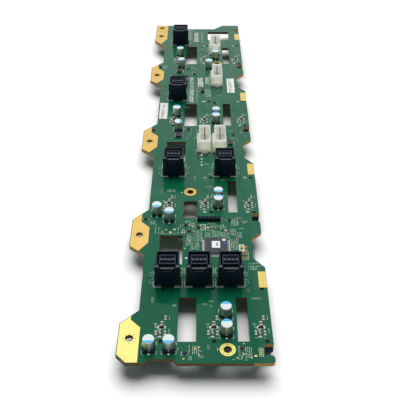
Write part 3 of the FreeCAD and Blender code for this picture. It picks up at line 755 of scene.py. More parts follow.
def spun(points, segments, material=0, closed=False):
    """Solid turned about Z from (radius, z) points that end on the axis, or form a closed outline."""
    bm = bmesh.new()
    verts = [bm.verts.new((radius, 0, z)) for radius, z in points]
    edges = [bm.edges.new(pair) for pair in zip(verts, verts[1:] + (verts[:1] if closed else []))]
    bmesh.ops.spin(
        bm, geom=verts + edges, cent=(0, 0, 0), axis=(0, 0, 1), dvec=(0, 0, 0), angle=math.tau,
        steps=segments, use_merge=True, use_duplicate=False)
    bmesh.ops.remove_doubles(bm, verts=bm.verts, dist=MERGE)
    return paint(bm, material)


def ring(outer, inner, height, segments=24, material=0):
    """Flat ring on z = 0 with a softened rim."""
    rim = min(height, outer - inner) * 0.3
    outline = [(inner, 0), (outer, 0), (outer, height - rim), (outer - rim, height), (inner, height)]
    return spun(outline, segments, material, closed=True)


def dot(radius, height, segments=16, material=0):
    """Low round pad with a rounded rim."""
    rim = min(height, radius) * 0.5
    profile = [(0, 0), (radius, 0), (radius, height - rim), (radius - rim, height), (0, height)]
    return spun(profile, segments, material)


def vertices(parts):
    return [part for part in parts if isinstance(part, bmesh.types.BMVert)]


def extend(bm, edge):
    """Extrude an edge on the spot: its new vertices and the new edge between them."""
    made = bmesh.ops.extrude_edge_only(bm, edges=[edge])["geom"]
    fresh = vertices(made)
    edges = [part for part in made if isinstance(part, bmesh.types.BMEdge)]
    return fresh, next(part for part in edges if all(vert in fresh for vert in part.verts))


def thicken(bm, by):
    """Close flat faces into a solid, extruded by a vector."""
    raised = bmesh.ops.extrude_face_region(bm, geom=bm.faces[:])["geom"]
    bmesh.ops.translate(bm, verts=vertices(raised), vec=by)


def strip(path, across, thickness):
    """Strip swept along a path; across is its width as a vector and thickness its gauge."""
    bm = bmesh.new()
    half = Vector(across) / 2
    ends = [bm.verts.new(Vector(path[0]) - half), bm.verts.new(Vector(path[0]) + half)]
    edge = bm.edges.new(ends)
    for last, point in zip(path, path[1:]):
        fresh, edge = extend(bm, edge)
        bmesh.ops.translate(bm, verts=fresh, vec=Vector(point) - Vector(last))
    bmesh.ops.recalc_face_normals(bm, faces=bm.faces)
    bmesh.ops.solidify(bm, geom=bm.faces[:], thickness=thickness)
    return bm


def mitre(path, index):
    """Sideways direction of a flat path at a point, long enough to keep the width round a bend."""
    before = (path[index] - path[index - 1]).normalized() if index else None
    after = (path[index + 1] - path[index]).normalized() if index + 1 < len(path) else None
    along = ((before or after) + (after or before)).normalized()
    side = Vector((-along.y, along.x, 0))
    return side / max(0.4, along.dot(before or after))


def band(path, width, height, material=0):
    """Low strip laid flat along a path of places, with mitred bends."""
    path = [Vector(point) for point in path]
    bm = bmesh.new()
    half = mitre(path, 0) * width / 2
    edge = bm.edges.new([bm.verts.new(path[0] - half), bm.verts.new(path[0] + half)])
    for index in range(1, len(path)):
        left, right = edge.verts
        old_middle = (left.co + right.co) / 2
        old_half = mitre(path, index - 1)
        half = mitre(path, index) * width / 2
        fresh, edge = extend(bm, edge)
        for vert in fresh:
            side = 1 if (vert.co - old_middle).dot(old_half) > 0 else -1
            vert.co = path[index] + half * side
    thicken(bm, (0, 0, height))
    return paint(bm, material)


def beside(path, offset):
    """The path moved sideways by an offset, its bends kept parallel."""
    path = [Vector(point) for point in path]
    return [point + mitre(path, index) * offset for index, point in enumerate(path)]


def gull_lead(reach, height, width, gauge):
    """Formed lead along +X: out of the body, down, and along the pad."""
    path = [
        (-0.1, 0, height),
        (reach * 0.22, 0, height),
        (reach * 0.36, 0, height - gauge * 0.6),
        (reach * 0.5, 0, gauge * 1.4),
        (reach * 0.62, 0, gauge),
        (reach, 0, gauge),
    ]
    return strip(path, (0, width, 0), gauge)


def nearest(point, places):
    return min(places, key=lambda other: (other.xy - point.xy).length)


# Sides that differ by less than this don't tell which way a lead runs
NEARLY_SQUARE = 0.25


def formed_leads(node, body, name, gauge, solder, pad=0.0):
    """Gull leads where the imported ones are, each turned away from its body, on a solder fillet.

    Where pad is given, a soldered pad reaches that far past each lead.
    """
    centres = solid_middles(body)
    tray = Tray()
    made = {}
    for low, high in solid_boxes(node):
        size = high - low
        centre = (low + high) / 2
        away = centre - nearest(centre, centres)
        along = 0 if size.x > size.y else 1
        if abs(size.x - size.y) < NEARLY_SQUARE:
            along = 0 if abs(away.x) > abs(away.y) else 1
        sign = 1 if away[along] > 0 else -1
        reach, width = size[along], size[1 - along]
        key = (round(reach, 2), round(width, 2), round(size.z, 2))
        if key not in made:
            lead = shape_of(gull_lead(reach, size.z - gauge / 2, width, gauge))
            fillet = shape_of(block((reach * 0.75, width + solder, gauge * 1.1), gauge * 0.4, gauge * 0.45))
            land = shape_of(block((pad, width + solder, 0.06))) if pad else None
            made[key] = lead, fillet, land
        start = centre.copy()
        start[along] -= sign * reach / 2
        start.z = TOP
        turn = 90 * along + (0 if sign > 0 else 180)
        lead, fillet, land = made[key]
        tray.take(lead, at(start, turn))
        foot = start.copy()
        foot[along] += sign * reach * 0.78
        tray.take(fillet, at(foot, turn))
        if land:
            foot[along] = start[along] + sign * (reach + pad / 2)
            tray.take(land, at(foot, turn))
    return finished(tray.bm, name, ["tin"], (node,))


def dress(node, material):
    """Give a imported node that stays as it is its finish."""
    for slot in frame["nodes"][node].material_slots:
        slot.material = MATERIALS[material]


class MakeBoard(bpy.types.Operator):
    """Finish the laminate and its plated lands, with small vias in the lands"""

    bl_idname = "backplane.board"
    bl_label = "Board and lands"

    via_count = 8
    via_circle = 3.25
    via_radius = 0.33

    def execute(self, context):
        dress("board", "board")
        for node in ("tab_pads", "edge_pads", "ring_pads"):
            dress(node, "gold")
        self.land_vias()
        return {"FINISHED"}

    def land_vias(self):
        """Small plated vias round each hole and in the contact pads, with a dark disc in the middle as the
        painted shade of the open hole.
        """
        tray = Tray()
        rim = shape_of(ring(self.via_radius, self.via_radius * 0.8, 0.04, 14))
        # Painted shade of the via's open hole
        bore = shape_of(dot(self.via_radius * 0.84, 0.02, 10, material=1))
        land = box("tab_pads")[1].z
        places = []
        for hole in screw_holes():
            for i in range(self.via_count):
                turn = math.tau * i / self.via_count
                offset = Vector((math.cos(turn), math.sin(turn), 0)) * self.via_circle
                places.append(hole + offset)
        for low, high in solid_boxes("edge_pads"):
            centre = (low + high) / 2
            quarter = Vector((0, (high.y - low.y) / 4, 0))
            places += [centre - quarter, centre + quarter]
        for spot in places:
            tray.take(rim, at((spot.x, spot.y, land)))
            tray.take(bore, at((spot.x, spot.y, land)))
        finished(tray.bm, "land_vias", ["gold", "bore"])


class MakeCableReceptacles(bpy.types.Operator):
    """Soften the cable receptacles and add their ribs, card contacts and lugs"""

    bl_idname = "backplane.cable_receptacles"
    bl_label = "Cable receptacles"

    contact_count = 9
    contact_pitch = 0.8
    contact_bends = ((0, 0, -1.4), (0, 0.14, -2.2), (0, 0.2, -3.0), (0, 0.06, -4.4), (0, 0.02, -6.4))
    card_slot_width = 1.2
    card_slot_pitch = 3.8
    # Bends of a stiffener: distance from the receptacle's middle and depth under its top
    rib_bends = ((4.6, 0.9), (4.6, 2.6), (6.3, 6.2))
    rib_foot = 3.4
    rib_relief = 0.14
    # Shoulder over each stiffener, in a painted highlight: size, distance from the middle and from the front
    shoulder_size = (1.8, 1.5, 0.12)
    shoulder_place = (6.0, 1.2)
    shoulder_drop = 0.1
    sill_half = 2.4
    sill_depth = 2.8
    lip_size = (7.6, 1.2, 0.6)
    lip_depth = 0.7
    rim_inset = 0.35
    lugs = 4
    lug_pitch = 2.3

    def execute(self, context):
        edge = sizes().moulded_edge * TO_MM
        for number in CABLE_NUMBERS:
            shell = f"cable_receptacle_{number}"
            refine(shell, f"{shell}_shell", edge, ["moulding", "rim", "lug"],
                   extra=self.front_ribs(shell), drop=self.shoulder_drop)
            insert = f"cable_insert_{number}"
            refine(insert, f"{insert}_block", edge * 0.7, ["contact_block", "rim", "lug"],
                   extra=self.rims_and_lugs(insert))
        self.contacts()
        refine("cable_hold_downs", "cable_hold_down_tabs", 0.06, "tin")
        return {"FINISHED"}

    def front_ribs(self, node):
        """Slanting stiffeners, shoulders over them, and a latch sill and lip on the front wall, all with a
        painted highlight.
        """
        low, high = box(node)
        x = (low.x + high.x) / 2
        front = low.y
        tray = Tray()
        shoulder = shape_of(block(self.shoulder_size, 0.05, 0.1, 2, 2))
        shoulder_x, shoulder_y = self.shoulder_place
        shoulder_z = high.z - self.shoulder_size[2]
        for side in (-1, 1):
            path = [(x + side * out, front, high.z - depth) for out, depth in self.rib_bends]
            path.append((x + side * self.rib_bends[-1][0], front, low.z + self.rib_foot))
            tray.pour(paint(self.relief(path, 0.3), 1))
            tray.take(shoulder, at((x + side * shoulder_x, front + shoulder_y, shoulder_z)))
        sill = [(x + end, front, high.z - self.sill_depth) for end in (-self.sill_half, self.sill_half)]
        tray.pour(paint(self.relief(sill, 0.5), 2))
        lip = shape_of(block(self.lip_size, 0.22, 0.0, 2, 2))
        tray.take(lip, at((x, front - 0.1, high.z - self.lip_depth)))
        return tray

    def relief(self, path, width):
        """Low rib on a wall that faces the near end of the board."""
        bm = bmesh.new()
        for start, end in zip(path, path[1:]):
            start, end = Vector(start), Vector(end)
            side = (end - start).normalized().cross(Vector((0, 1, 0))) * width / 2
            corners = (start - side, start + side, end + side, end - side)
            bm.faces.new([bm.verts.new(corner) for corner in corners])
        thicken(bm, (0, -self.rib_relief, 0))
        return bm

    def rims_and_lugs(self, node):
        """Raised rim round the block's top and lugs on the rib between its card slots, both with a painted
        highlight.
        """
        low, high = grown(*box(node), -self.rim_inset, -self.rim_inset)
        centre = middle(node)
        tray = Tray()
        corners = ((low.x, low.y), (high.x, low.y), (high.x, high.y), (low.x, high.y))
        path = [Vector((*corner, high.z)) for corner in corners]
        for start, end in zip(path, path[1:] + path[:1]):
            width = 0.4 if start.y == end.y else 0.22
            tray.pour(band([start, end], width, 0.16, material=1))
        lug = shape_of(block((1.45, 1.3, 0.3), 0.12, 0.1, 2, 2))
        for offset in spread(self.lugs, self.lug_pitch):
            tray.take(lug, at((centre.x + offset, centre.y, high.z)))
        return tray

    def contacts(self):
        """Sprung contacts along both walls of each card slot."""
        tray = Tray()
        contact = shape_of(strip(self.contact_bends, (0.34, 0, 0), 0.09))
        wall_y = self.card_slot_width / 2 - 0.02
        for number in CABLE_NUMBERS:
            low, high = box(f"cable_insert_{number}")
            centre = (low + high) / 2
            for card_slot in spread(2, self.card_slot_pitch):
                for wall in (-1, 1):
                    y = centre.y + card_slot + wall * wall_y
                    for offset in spread(self.contact_count, self.contact_pitch):
                        tray.take(contact, at((centre.x + offset, y, high.z), 180 if wall > 0 else 0))
        finished(tray.bm, "cable_contacts", ["gold"])


class MakeDriveReceptacles(bpy.types.Operator):
    """Soften the drive receptacles under the board and add their contacts"""

    bl_idname = "backplane.drive_receptacles"
    bl_label = "Drive receptacles"

    contact_pitch = 1.27
    contact_count = 22
    contact_bends = ((0, 0, 1.3), (0.28, 0, 2.2), (0.42, 0, 3.2), (0.2, 0, 5.0), (0.05, 0, 7.0))
    slot_half_width = 1.2
    before_key = 15
    key_gap = 1.2

    def execute(self, context):
        edge = sizes().moulded_edge * TO_MM
        for number in DRIVE_NUMBERS:
            node = f"drive_receptacle_{number:02d}"
            refine(node, f"{node}_shell", edge, "moulding")
        self.contacts()
        return {"FINISHED"}

    def contacts(self):
        """Row of sprung contacts in each card slot, in two groups past the key."""
        tray = Tray()
        contact = shape_of(strip(self.contact_bends, (0, 0.55, 0), 0.12))
        for number in DRIVE_NUMBERS:
            low, high = box(f"drive_receptacle_{number:02d}")
            centre = (low + high) / 2
            for i, offset in enumerate(spread(self.contact_count, self.contact_pitch)):
                y = centre.y + offset + (self.key_gap if i >= self.before_key else 0.0)
                tray.take(contact, at((centre.x - self.slot_half_width + 0.02, y, low.z)))
        finished(tray.bm, "drive_contacts", ["gold"])


class MakePowerHeaders(bpy.types.Operator):
    """Soften the power headers and their pins, and paint dark strips of shade in their wells"""

    bl_idname = "backplane.power_headers"
    bl_label = "Power headers"

    end_wall = 2.2
    floor = 2.4
    # Width and gauge of the strips of painted shade
    seam = 0.9
    pin_shade_gauge = 0.03
    pin_clearance = 2.0
    rim_clearance = 1.2

    def execute(self, context):
        for number in POWER_NUMBERS:
            shell = f"power_header_{number}"
            pins = f"power_pins_{number}"
            refine(shell, f"{shell}_shell", 0.2, ["nylon", "shade"],
                   extra=self.pin_shade_strips(shell, pins))
            refine(pins, f"power_pin_row_{number}", 0.3, "pin")
        return {"FINISHED"}

    def pin_shade_strips(self, shell, pins):
        """Painted shade in the well: a dark strip on its floor, between the pins, and up its far wall."""
        low, high = box(shell)
        floor = low.z + self.floor
        pin_places = solid_middles(pins)
        x = pin_places[0].x
        ys = sorted(spot.y for spot in pin_places)
        tray = Tray()
        for before, after in zip(ys, ys[1:]):
            length = after - before - self.pin_clearance
            floor_shade = shape_of(block((self.seam, length, self.pin_shade_gauge), material=1))
            tray.take(floor_shade, at((x, (before + after) / 2, floor)))
        rise = high.z - floor - self.rim_clearance
        far_wall_shade = shape_of(block((self.seam, self.pin_shade_gauge, rise), material=1))
        tray.take(far_wall_shade, at((x, high.y - self.end_wall, floor)))
        return tray


class MakeCapacitors(bpy.types.Operator):
    """Turn the capacitor cans with their groove, printed top, base and leads"""

    bl_idname = "backplane.capacitors"
    bl_label = "Capacitors"

    radius = 3.15
    shoulder = 0.35
    groove = 0.2
    top_radius = 2.94
    mark_radius = 2.88
    mark_chord = 0.4
    print_gauge = 0.03

    def execute(self, context):
        cans = Tray()
        tops = Tray()
        boxes = solid_boxes("capacitor_cans")
        low, high = boxes[0]
        can = shape_of(self.can(high.z - low.z))
        white = shape_of(dot(self.top_radius, self.print_gauge, 48))
        mark = shape_of(self.mark())
        bases = solid_groups("capacitor_bases")
        centres = solid_middles("capacitor_bases")
        for low, high in boxes:
            centre = (low + high) / 2
            index = centres.index(nearest(centre, centres))
            turn = self.front_turn(bases[index], centres[index])
            cans.take(can, at((centre.x, centre.y, low.z)))
            tops.take(white, at((centre.x, centre.y, high.z - 0.002)))
            tops.take(mark, at((centre.x, centre.y, high.z + self.print_gauge - 0.004), turn))
        finished(cans.bm, "capacitor_can_bodies", ["can"], ("capacitor_cans",))
        finished(tops.bm, "capacitor_can_tops", ["can_print", "can_mark"])
        refine("capacitor_bases", "capacitor_base_plates", 0.12, "moulding")
        refine("capacitor_leads", "capacitor_lead_tabs", 0.07, "tin", extra=self.solder())
        return {"FINISHED"}

    def can(self, height):
        """Can with a crimp groove near its foot and a rounded shoulder."""
        r, s, g = self.radius, self.shoulder, self.groove
        points = [(0, 0), (r - 0.3, 0), (r - g, 0.1), (r - g, 1.2), (r, 1.6)]
        for i in range(6):
            turn = math.pi / 2 * i / 5
            points.append((r - s + s * math.cos(turn), height - s + s * math.sin(turn)))
        points.append((0, height))
        return spun(points, 40)

    def mark(self):
        """Printed segment of the top, cut off by a chord, towards +X."""
        bm = bmesh.new()
        bmesh.ops.create_circle(bm, cap_ends=True, radius=self.mark_radius, segments=48)
        cut = Vector((self.mark_radius * self.mark_chord, 0, 0))
        bmesh.ops.bisect_plane(
            bm, geom=bm.verts[:] + bm.edges[:] + bm.faces[:], plane_co=cut, plane_no=(1, 0, 0),
            clear_inner=True)
        thicken(bm, (0, 0, self.print_gauge))
        return paint(bm, 1)

    def front_turn(self, group, centre):
        """Way that the base's square corners face, as a turn about Z; its cut corners are behind."""
        behind = sum(((corner - centre) for corner in group), Vector()) / len(group)
        if abs(behind.x) > abs(behind.y):
            return 0 if behind.x < 0 else 180
        return 90 if behind.y < 0 else 270

    def solder(self):
        """Solder fillet round each lead."""
        tray = Tray()
        for low, high in solid_boxes("capacitor_leads"):
            size = high - low
            fillet = shape_of(block((size.x + 0.5, size.y + 0.5, 0.16), 0.07, 0.05))
            centre = (low + high) / 2
            tray.take(fillet, at((centre.x, centre.y, TOP)))
        return tray


class MakeController(bpy.types.Operator):
    """Finish the controller with its formed leads, pin mark, sticker and paint dots"""

    bl_idname = "backplane.controller"
    bl_label = "Controller"

    mark_inset = 1.6
    # Paint dots: place, radius and material
    paint_dots = ((7.4, 77.8, 1.15, 0), (8.1, 74.8, 0.85, 1))
    sticker_bars = (0.35, 1.1)

    def execute(self, context):
        low, high = box("controller_body")
        extra = Tray()
        mark = shape_of(ring(0.75, 0.6, 0.03, 24))
        extra.take(mark, at((low.x + self.mark_inset, low.y + self.mark_inset, high.z - 0.01)))
        refine("controller_body", "controller_package", 0.14, "controller_epoxy",
               extra=extra)
        formed_leads("controller_leads", "controller_body", "controller_formed_leads", 0.16, 0.06, 0.6)
        dress("controller_sticker", "paper")
        marks = Tray()
        for x, y, radius, material in self.paint_dots:
            marks.take(shape_of(dot(radius, 0.05, 28, material)), at(place(x, y, 0, high.z - TOP - 0.005)))
        low, high = box("controller_sticker")
        centre = (low + high) / 2
        bar = shape_of(block((0.45, (high.y - low.y) * 0.5, 0.02), material=2))
        for offset in self.sticker_bars:
            marks.take(bar, at((centre.x + offset, centre.y, high.z - 0.002)))
        finished(marks.bm, "controller_paint_dots", ["white_paint", "blue_paint", "lug"])
        return {"FINISHED"}


class MakeSignalHeader(bpy.types.Operator):
    """Soften the signal header and line its sockets"""

    bl_idname = "backplane.signal_header"
    bl_label = "Signal header"

    ways = 6
    pitch = 2.54
    liner_size = (0.48, 0.36, 0.7)
    liner_depth = 2.0

    def execute(self, context):
        low, high = box("signal_header")
        centre = (low + high) / 2
        refine("signal_header", "signal_header_shell", 0.1, "moulding")
        tray = Tray()
        liner = shape_of(ring(*self.liner_size, 14))
        for offset in spread(self.ways, self.pitch):
            tray.take(liner, at((centre.x + offset, centre.y, high.z - self.liner_depth)))
        finished(tray.bm, "signal_contacts", ["gold"])
        return {"FINISHED"}


class MakePackages(bpy.types.Operator):
    """Finish the small packages and transistors with formed leads"""

    bl_idname = "backplane.packages"
    bl_label = "Packages and transistors"

    rounding = 1.6

    def execute(self, context):
        edge = sizes().cut_edge * TO_MM * self.rounding
        refine("package_bodies", "package_mouldings", edge, "epoxy", extra=self.pin_marks())
        formed_leads("package_leads", "package_bodies", "package_formed_leads", 0.2, 0.12)
        refine("transistor_bodies", "transistor_mouldings", edge, "epoxy")
        formed_leads("transistor_leads", "transistor_bodies", "transistor_formed_leads", 0.16, 0.16)
        return {"FINISHED"}

    def pin_marks(self):
        """Moulded ring that marks the first pin."""
        tray = Tray()
        mark = shape_of(ring(0.35, 0.26, 0.03, 16))
        for low, high in solid_boxes("package_bodies"):
            tray.take(mark, at((low.x + 0.9, high.y - 0.9, high.z - 0.01)))
        return tray


def chip(length, width, height, terminal, body=0, metal=1):
    """Chip along X: a ceramic body between two wrapped metal terminals on low solder fillets."""
    tray = Tray()
    tray.pour(block((length - 0.1, width - 0.06, height - 0.03), 0.04, 0.0, 1, body))
    for side in (-1, 1):
        cap = shape_of(block((terminal, width, height), 0.05, 0.0, 1, metal))
        tray.take(cap, at((side * (length - terminal) / 2, 0, 0)))
        foot = (terminal * 1.7, width * 1.05, height * 0.35)
        fillet = shape_of(block(foot, 0.03, terminal * 0.3, 1, metal))
        tray.take(fillet, at((side * (length / 2), 0, 0)))
    return shape_of(tray.bm)


class MakeBayParts(bpy.types.Operator):
    """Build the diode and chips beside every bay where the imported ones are, with the parts near them"""

    bl_idname = "backplane.bay_parts"
    bl_label = "Bay parts"

    bead = (0.1, 11.8)
    pink = (-0.95, 6.85)
    side_pads = ((-1.95, 9.4), (1.95, 9.4))
    chip_pads = ((-0.75, 5.5), (-1.35, 3.0), (-0.2, 3.0))
    resistor = (-0.75, 4.35)
    peg_pad = (-4.2, 0.3)

    def execute(self, context):
        self.centres = solid_middles("bay_arrays")
        self.diodes()
        self.chips()
        self.others()
        return {"FINISHED"}

    def diodes(self):
        tray = Tray()
        for low, high in solid_boxes("bay_arrays"):
            size = high - low
            centre = (low + high) / 2
            body = shape_of(block((size.x - 0.5, size.y, size.z), 0.12, 0.14, 2))
            tray.take(body, at((centre.x, centre.y, low.z)))
            for side in (-1, 1):
                terminal = shape_of(block((0.45, size.y * 0.72, size.z * 0.45), 0.06, 0.03, 1, 1))
                tray.take(terminal, at((centre.x + side * (size.x / 2 - 0.2), centre.y, low.z)))
            stripe = shape_of(block((0.32, size.y - 0.34, 0.02), material=2))
            tray.take(stripe, at((centre.x - size.x * 0.27, centre.y, high.z - 0.005)))
        finished(tray.bm, "bay_diodes", ["epoxy", "tin", "ink"], ("bay_arrays",))

    def body_of(self, offset):
        """Body of a packed chip by its side of the diode: pink at the left, black, brown at the right."""
        if offset.x < -2:
            return 3
        return 0 if offset.x < 0 else 2

    def chips(self):
        tray = Tray()
        made = {}
        pad = shape_of(block((1.3, 0.9, 0.1), 0.04, 0.08, 1, 1))
        for low, high in solid_boxes("bay_chips"):
            size = high - low
            centre = (low + high) / 2
            body = self.body_of(centre - nearest(centre, self.centres))
            if body not in made:
                made[body] = chip(size.y, size.x, size.z, size.y * 0.24, body)
            tray.take(made[body], at((centre.x, centre.y, TOP), 90))
            for end in (low.y - 0.25, high.y + 0.25):
                tray.take(pad, at((centre.x, end, TOP)))
        ceramics = ["black_chip", "solder", "brown_chip", "pink_chip"]
        finished(tray.bm, "bay_chip_parts", ceramics, ("bay_chips",))

    def others(self):
        """Brown bead, pink chip, soldered pads and the pads beside the pegs."""
        tray = Tray()
        bead = chip(2.6, 1.7, 0.9, 0.6, 0)
        pink = chip(1.9, 1.2, 0.8, 0.3, 2)
        side_pad = shape_of(block((0.8, 1.8, 0.2), 0.06, 0.08, 1, 1))
        chip_pad = shape_of(block((0.9, 0.8, 0.12), 0.05, 0.08, 1, 1))
        resistor = shape_of(block((2.0, 1.1, 0.55), 0.05, 0.0, 1, 3))
        oblong = shape_of(block((2.1, 1.1, 0.1), 0.04, 0.1, 1, 1))
        for row, column, peg in bays():
            near = nearest(peg + Vector((0, 9, 0)), self.centres)
            spot = Vector((near.x, peg.y, TOP))
            tray.take(bead, at(spot + Vector((*self.bead, 0)), 90))
            tray.take(pink, at(spot + Vector((*self.pink, 0)), 90))
            tray.take(resistor, at(spot + Vector((*self.resistor, 0))))
            for shape, places in ((side_pad, self.side_pads), (chip_pad, self.chip_pads)):
                for dx, dy in places:
                    tray.take(shape, at(spot + Vector((dx, dy, 0))))
            if row > 0 and column > 0:
                tray.take(oblong, at(peg + Vector((*self.peg_pad, 0))))
        ceramics = ["brown_chip", "solder", "pink_chip", "black_chip"]
        finished(tray.bm, "bay_small_parts", ceramics)


class MakeLabels(bpy.types.Operator):
    """Give the two paper labels and the controller's sticker plain bands where they were printed"""

    bl_idname = "backplane.labels"
    bl_label = "Paper labels"

    # Where a band starts and ends, as shares of the paper's width or depth
    label_band = (0.22, 0.66)
    sticker_band = (0.35, 0.4)

    def execute(self, context):
        for node in ("paper_label_left", "paper_label_right"):
            MATERIALS[node] = label_material(node, self.band(node, self.label_band, 0), 0)
            dress(node, node)
        band = self.band("controller_sticker", self.sticker_band, 1)
        MATERIALS["paper"] = label_material("controller_sticker", band, 1, 1.12)
        return {"FINISHED"}

    def band(self, node, shares, axis):
        low, high = box(node)
        return [low[axis] + (high[axis] - low[axis]) * share for share in shares]


class MakeTraces(bpy.types.Operator):
    """Lay bundles of masked traces between the bays and the receptacles"""

    bl_idname = "backplane.traces"
    bl_label = "Traces"

    height = 0.03
    pitch = 0.62
    # Corners of each bundle's middle path and its count of traces, in every column
    column_bundles = (
        (((-23.4, 20.2), (-23.4, 31), (-26.1, 33.7), (-26.1, 39.0)), 6),
        (((-2.6, 2.4), (-2.6, 22), (-5.6, 25), (-5.6, 38.2)), 5),
        (((22.3, 9.0), (22.3, 24), (20.6, 25.7), (20.6, 38.0)), 5),
        (((10.6, 22.2), (10.6, 36.2)), 3),
    )
    # The same for the bundles that run on towards the next column
    onward_bundles = (
        (((-14.6, 57.0), (-14.6, 72), (-11.2, 75.4), (-11.2, 88.0)), 6),
        (((21.9, 44.0), (21.9, 60), (24.6, 62.7), (24.6, 71.0)), 4),
        (((-29.2, 86.0), (-26.4, 88.8), (-26.4, 96.0)), 4),
    )

    def execute(self, context):
        tray = Tray()
        width = sizes().trace_width * TO_MM
        for bundles, columns in ((self.column_bundles, COLUMNS), (self.onward_bundles, COLUMNS - 1)):
            for column in range(columns):
                for corners, count in bundles:
                    path = [place(x, y, column) for x, y in corners]
                    for offset in spread(count, self.pitch):
                        tray.pour(band(beside(path, offset), width, self.height))
        finished(tray.bm, "trace_bundles", ["trace"])
        return {"FINISHED"}


class MakeLegend(bpy.types.Operator):
    """Print the plain outlines, ticks and brackets round the parts"""

    bl_idname = "backplane.legend"
    bl_label = "Legend"

    gauge = 0.02
    # Parts with lines beside them: their margin, and whether the X sides and the Y sides have one
    outlined = (
        ("package_bodies", 0.25, (False, True)),
        ("transistor_bodies", 0.3, (True, False)),
        ("bay_arrays", 0.55, (False, True)),
    )
    ring_place = (-13.76, 81.05)
    peg_diamond = (-3.95, 1.2)

    dash_width = 0.28
    dash_lengths = (0.6, 1.9)
    dash_gaps = (0.35, 0.8)
    shortest_dash = 0.4
    row_stagger = 0.7
    row_gap = 0.67

    # Lowest and highest x, lowest and highest y of each printed area, and the axis that its dashes follow
    fields = (
        (-20.1, -18.9, 91.0, 94.2, "y"), (-19.4, -17.2, 85.2, 88.3, "y"), (-14.4, -10.9, 92.3, 96.1, "y"),
        (-16.1, -12.0, 74.3, 79.4, "x"), (-11.4, -6.2, 78.0, 88.3, "y"), (-13.2, -7.7, 70.5, 77.5, "y"),
        (-4.5, -0.5, 82.0, 86.5, "x"), (0.1, 5.2, 82.0, 87.7, "y"), (5.3, 8.7, 89.3, 94.2, "y"),
        (12.6, 16.7, 92.7, 99.6, "y"), (11.7, 15.6, 84.3, 89.8, "y"), (15.4, 18.9, 81.2, 86.9, "x"),
        (11.8, 16.2, 70.3, 80.8, "y"), (-17.0, -13.8, 96.4, 98.4, "x"), (5.4, 10.8, 81.2, 86.9, "x"),
        (-24.0, -17.9, 308.6, 314.3, "y"), (-15.4, -11.9, 299.9, 303.0, "x"),
        (-10.7, -9.4, 249.3, 270.4, "x"), (-2.6, 1.6, 258.0, 272.0, "y"), (-19.6, -16.3, 216.7, 220.8, "y"),
        (-19.1, -14.8, 372.2, 394.6, "x"), (-6.4, -3.9, 365.6, 388.6, "x"),
        (-41.0, -36.8, 309.9, 315.9, "x"), (-39.5, -35.5, 94.0, 98.0, "y"), (-29.7, -23.2, 127.9, 130.9, "y"),
        (-11.2, -10.0, 141.3, 146.5, "y"), (-23.4, -20.6, 24.2, 26.1, "y"), (21.2, 27.2, 57.7, 59.1, "y"),
        (21.2, 26.6, 52.6, 56.8, "y"), (-19.3, -18.6, -5.9, -3.3, "y"), (-13.3, -12.4, -6.5, -2.3, "y"),
        (-11.4, -7.7, -8.4, -3.0, "y"), (-13.8, -11.6, -12.0, -9.4, "x"), (-17.4, -16.2, -9.4, -6.8, "y"),
        (12.4, 13.4, -9.1, -3.0, "x"), (16.1, 19.6, -10.9, -3.6, "y"), (13.6, 15.2, -11.2, -6.8, "x"),
        (14.5, 17.1, -12.4, -11.6, "y"), (1.4, 2.5, -6.3, -3.9, "y"), (11.3, 13.9, 20.4, 25.5, "x"),
    )
    # Areas of wider and whiter bars
    bar_fields = (
        (-16.4, -12.6, 249.3, 292.8, 1.0), (-9.5, -4.7, 275.3, 293.5, 1.7),
        (-2.9, 0.6, 281.0, 293.5, 0.7), (-13.2, -8.6, 365.6, 387.6, 1.0),
    )
    frames = ((-6.8, -4.0, 89.0, 94.1, 0.5), (16.9, 19.4, 69.2, 74.9, 0.8))

    # Marks along the near edge and round the test field; a tick has a place and a length
    near_frames = ((23.2, 25.3, -9.6, -4.3), (17.1, 22.0, 61.9, 68.6))
    near_cup = ((12.4, -9.4), (12.4, -11.3), (13.9, -11.3), (13.9, -9.4))
    near_ticks = ((12.6, -3.4, 1.5), (1.6, -5.1, 1.2), (-7.9, -6.2, 1.6), (9.0, -11.6, 1.4))
    test_field = ((-33.65, 85.3), (-21.1, 90.7))

    # Marks of each bay, from its diode's middle across the board and from the near peg along it
    bay_fields = ((3.7, 4.6, 14.4, 17.8), (3.8, 4.7, 5.2, 8.8))
    bay_frames = ((-3.4, 11.8), (-2.9, 9.8))
    # Bars before the diode: from, to and distance from its middle
    bay_bars = ((-3.4, -2.2, -7.4), (1.2, 2.3, -7.3))

    def execute(self, context):
        self.tray = Tray()
        self.width = sizes().legend_width * TO_MM
        self.draw = random.Random(sizes().scatter_seed)
        for low, high in solid_boxes("capacitor_bases"):
            self.brackets(low, high, 0.55, 2.2)
        for number in CABLE_NUMBERS:
            low, high = box(f"cable_receptacle_{number}")
            self.brackets(low, high, 0.7, 5.0)
            self.side_ticks(low, high)
        for number in POWER_NUMBERS:
            self.header_marks(number)
        self.brackets(*box("controller_leads"), 0.5, 1.6)
        self.brackets(*box("signal_header"), 0.45, 1.2)
        for node, margin, sides in self.outlined:
            for low, high in solid_boxes(node):
                self.outline(low, high, margin, sides)
        self.near_strip()
        self.bay_marks()
        for x0, x1, y0, y1, way in self.fields:
            self.dashes(place(x0, y0), place(x1, y1), way)
        for x0, x1, y0, y1, width in self.bar_fields:
            self.dashes(place(x0, y0), place(x1, y1), "x", width, 1)
        for *corners, width in self.frames:
            self.frame(*corners, width)
        for row, column, peg in bays():
            if row > 0 and column > 0:
                x, y = peg.x + self.peg_diamond[0], peg.y + PEG_SPACING
                r = self.peg_diamond[1]
                self.line((x - r, y), (x, y - r), (x + r, y), (x, y + r), (x - r, y), width=0.35)
        self.tray.take(shape_of(ring(1.75, 1.4, self.gauge, 32)), at(place(*self.ring_place)))
        finished(self.tray.bm, "legend", ["ink", "white_paint"])
        return {"FINISHED"}

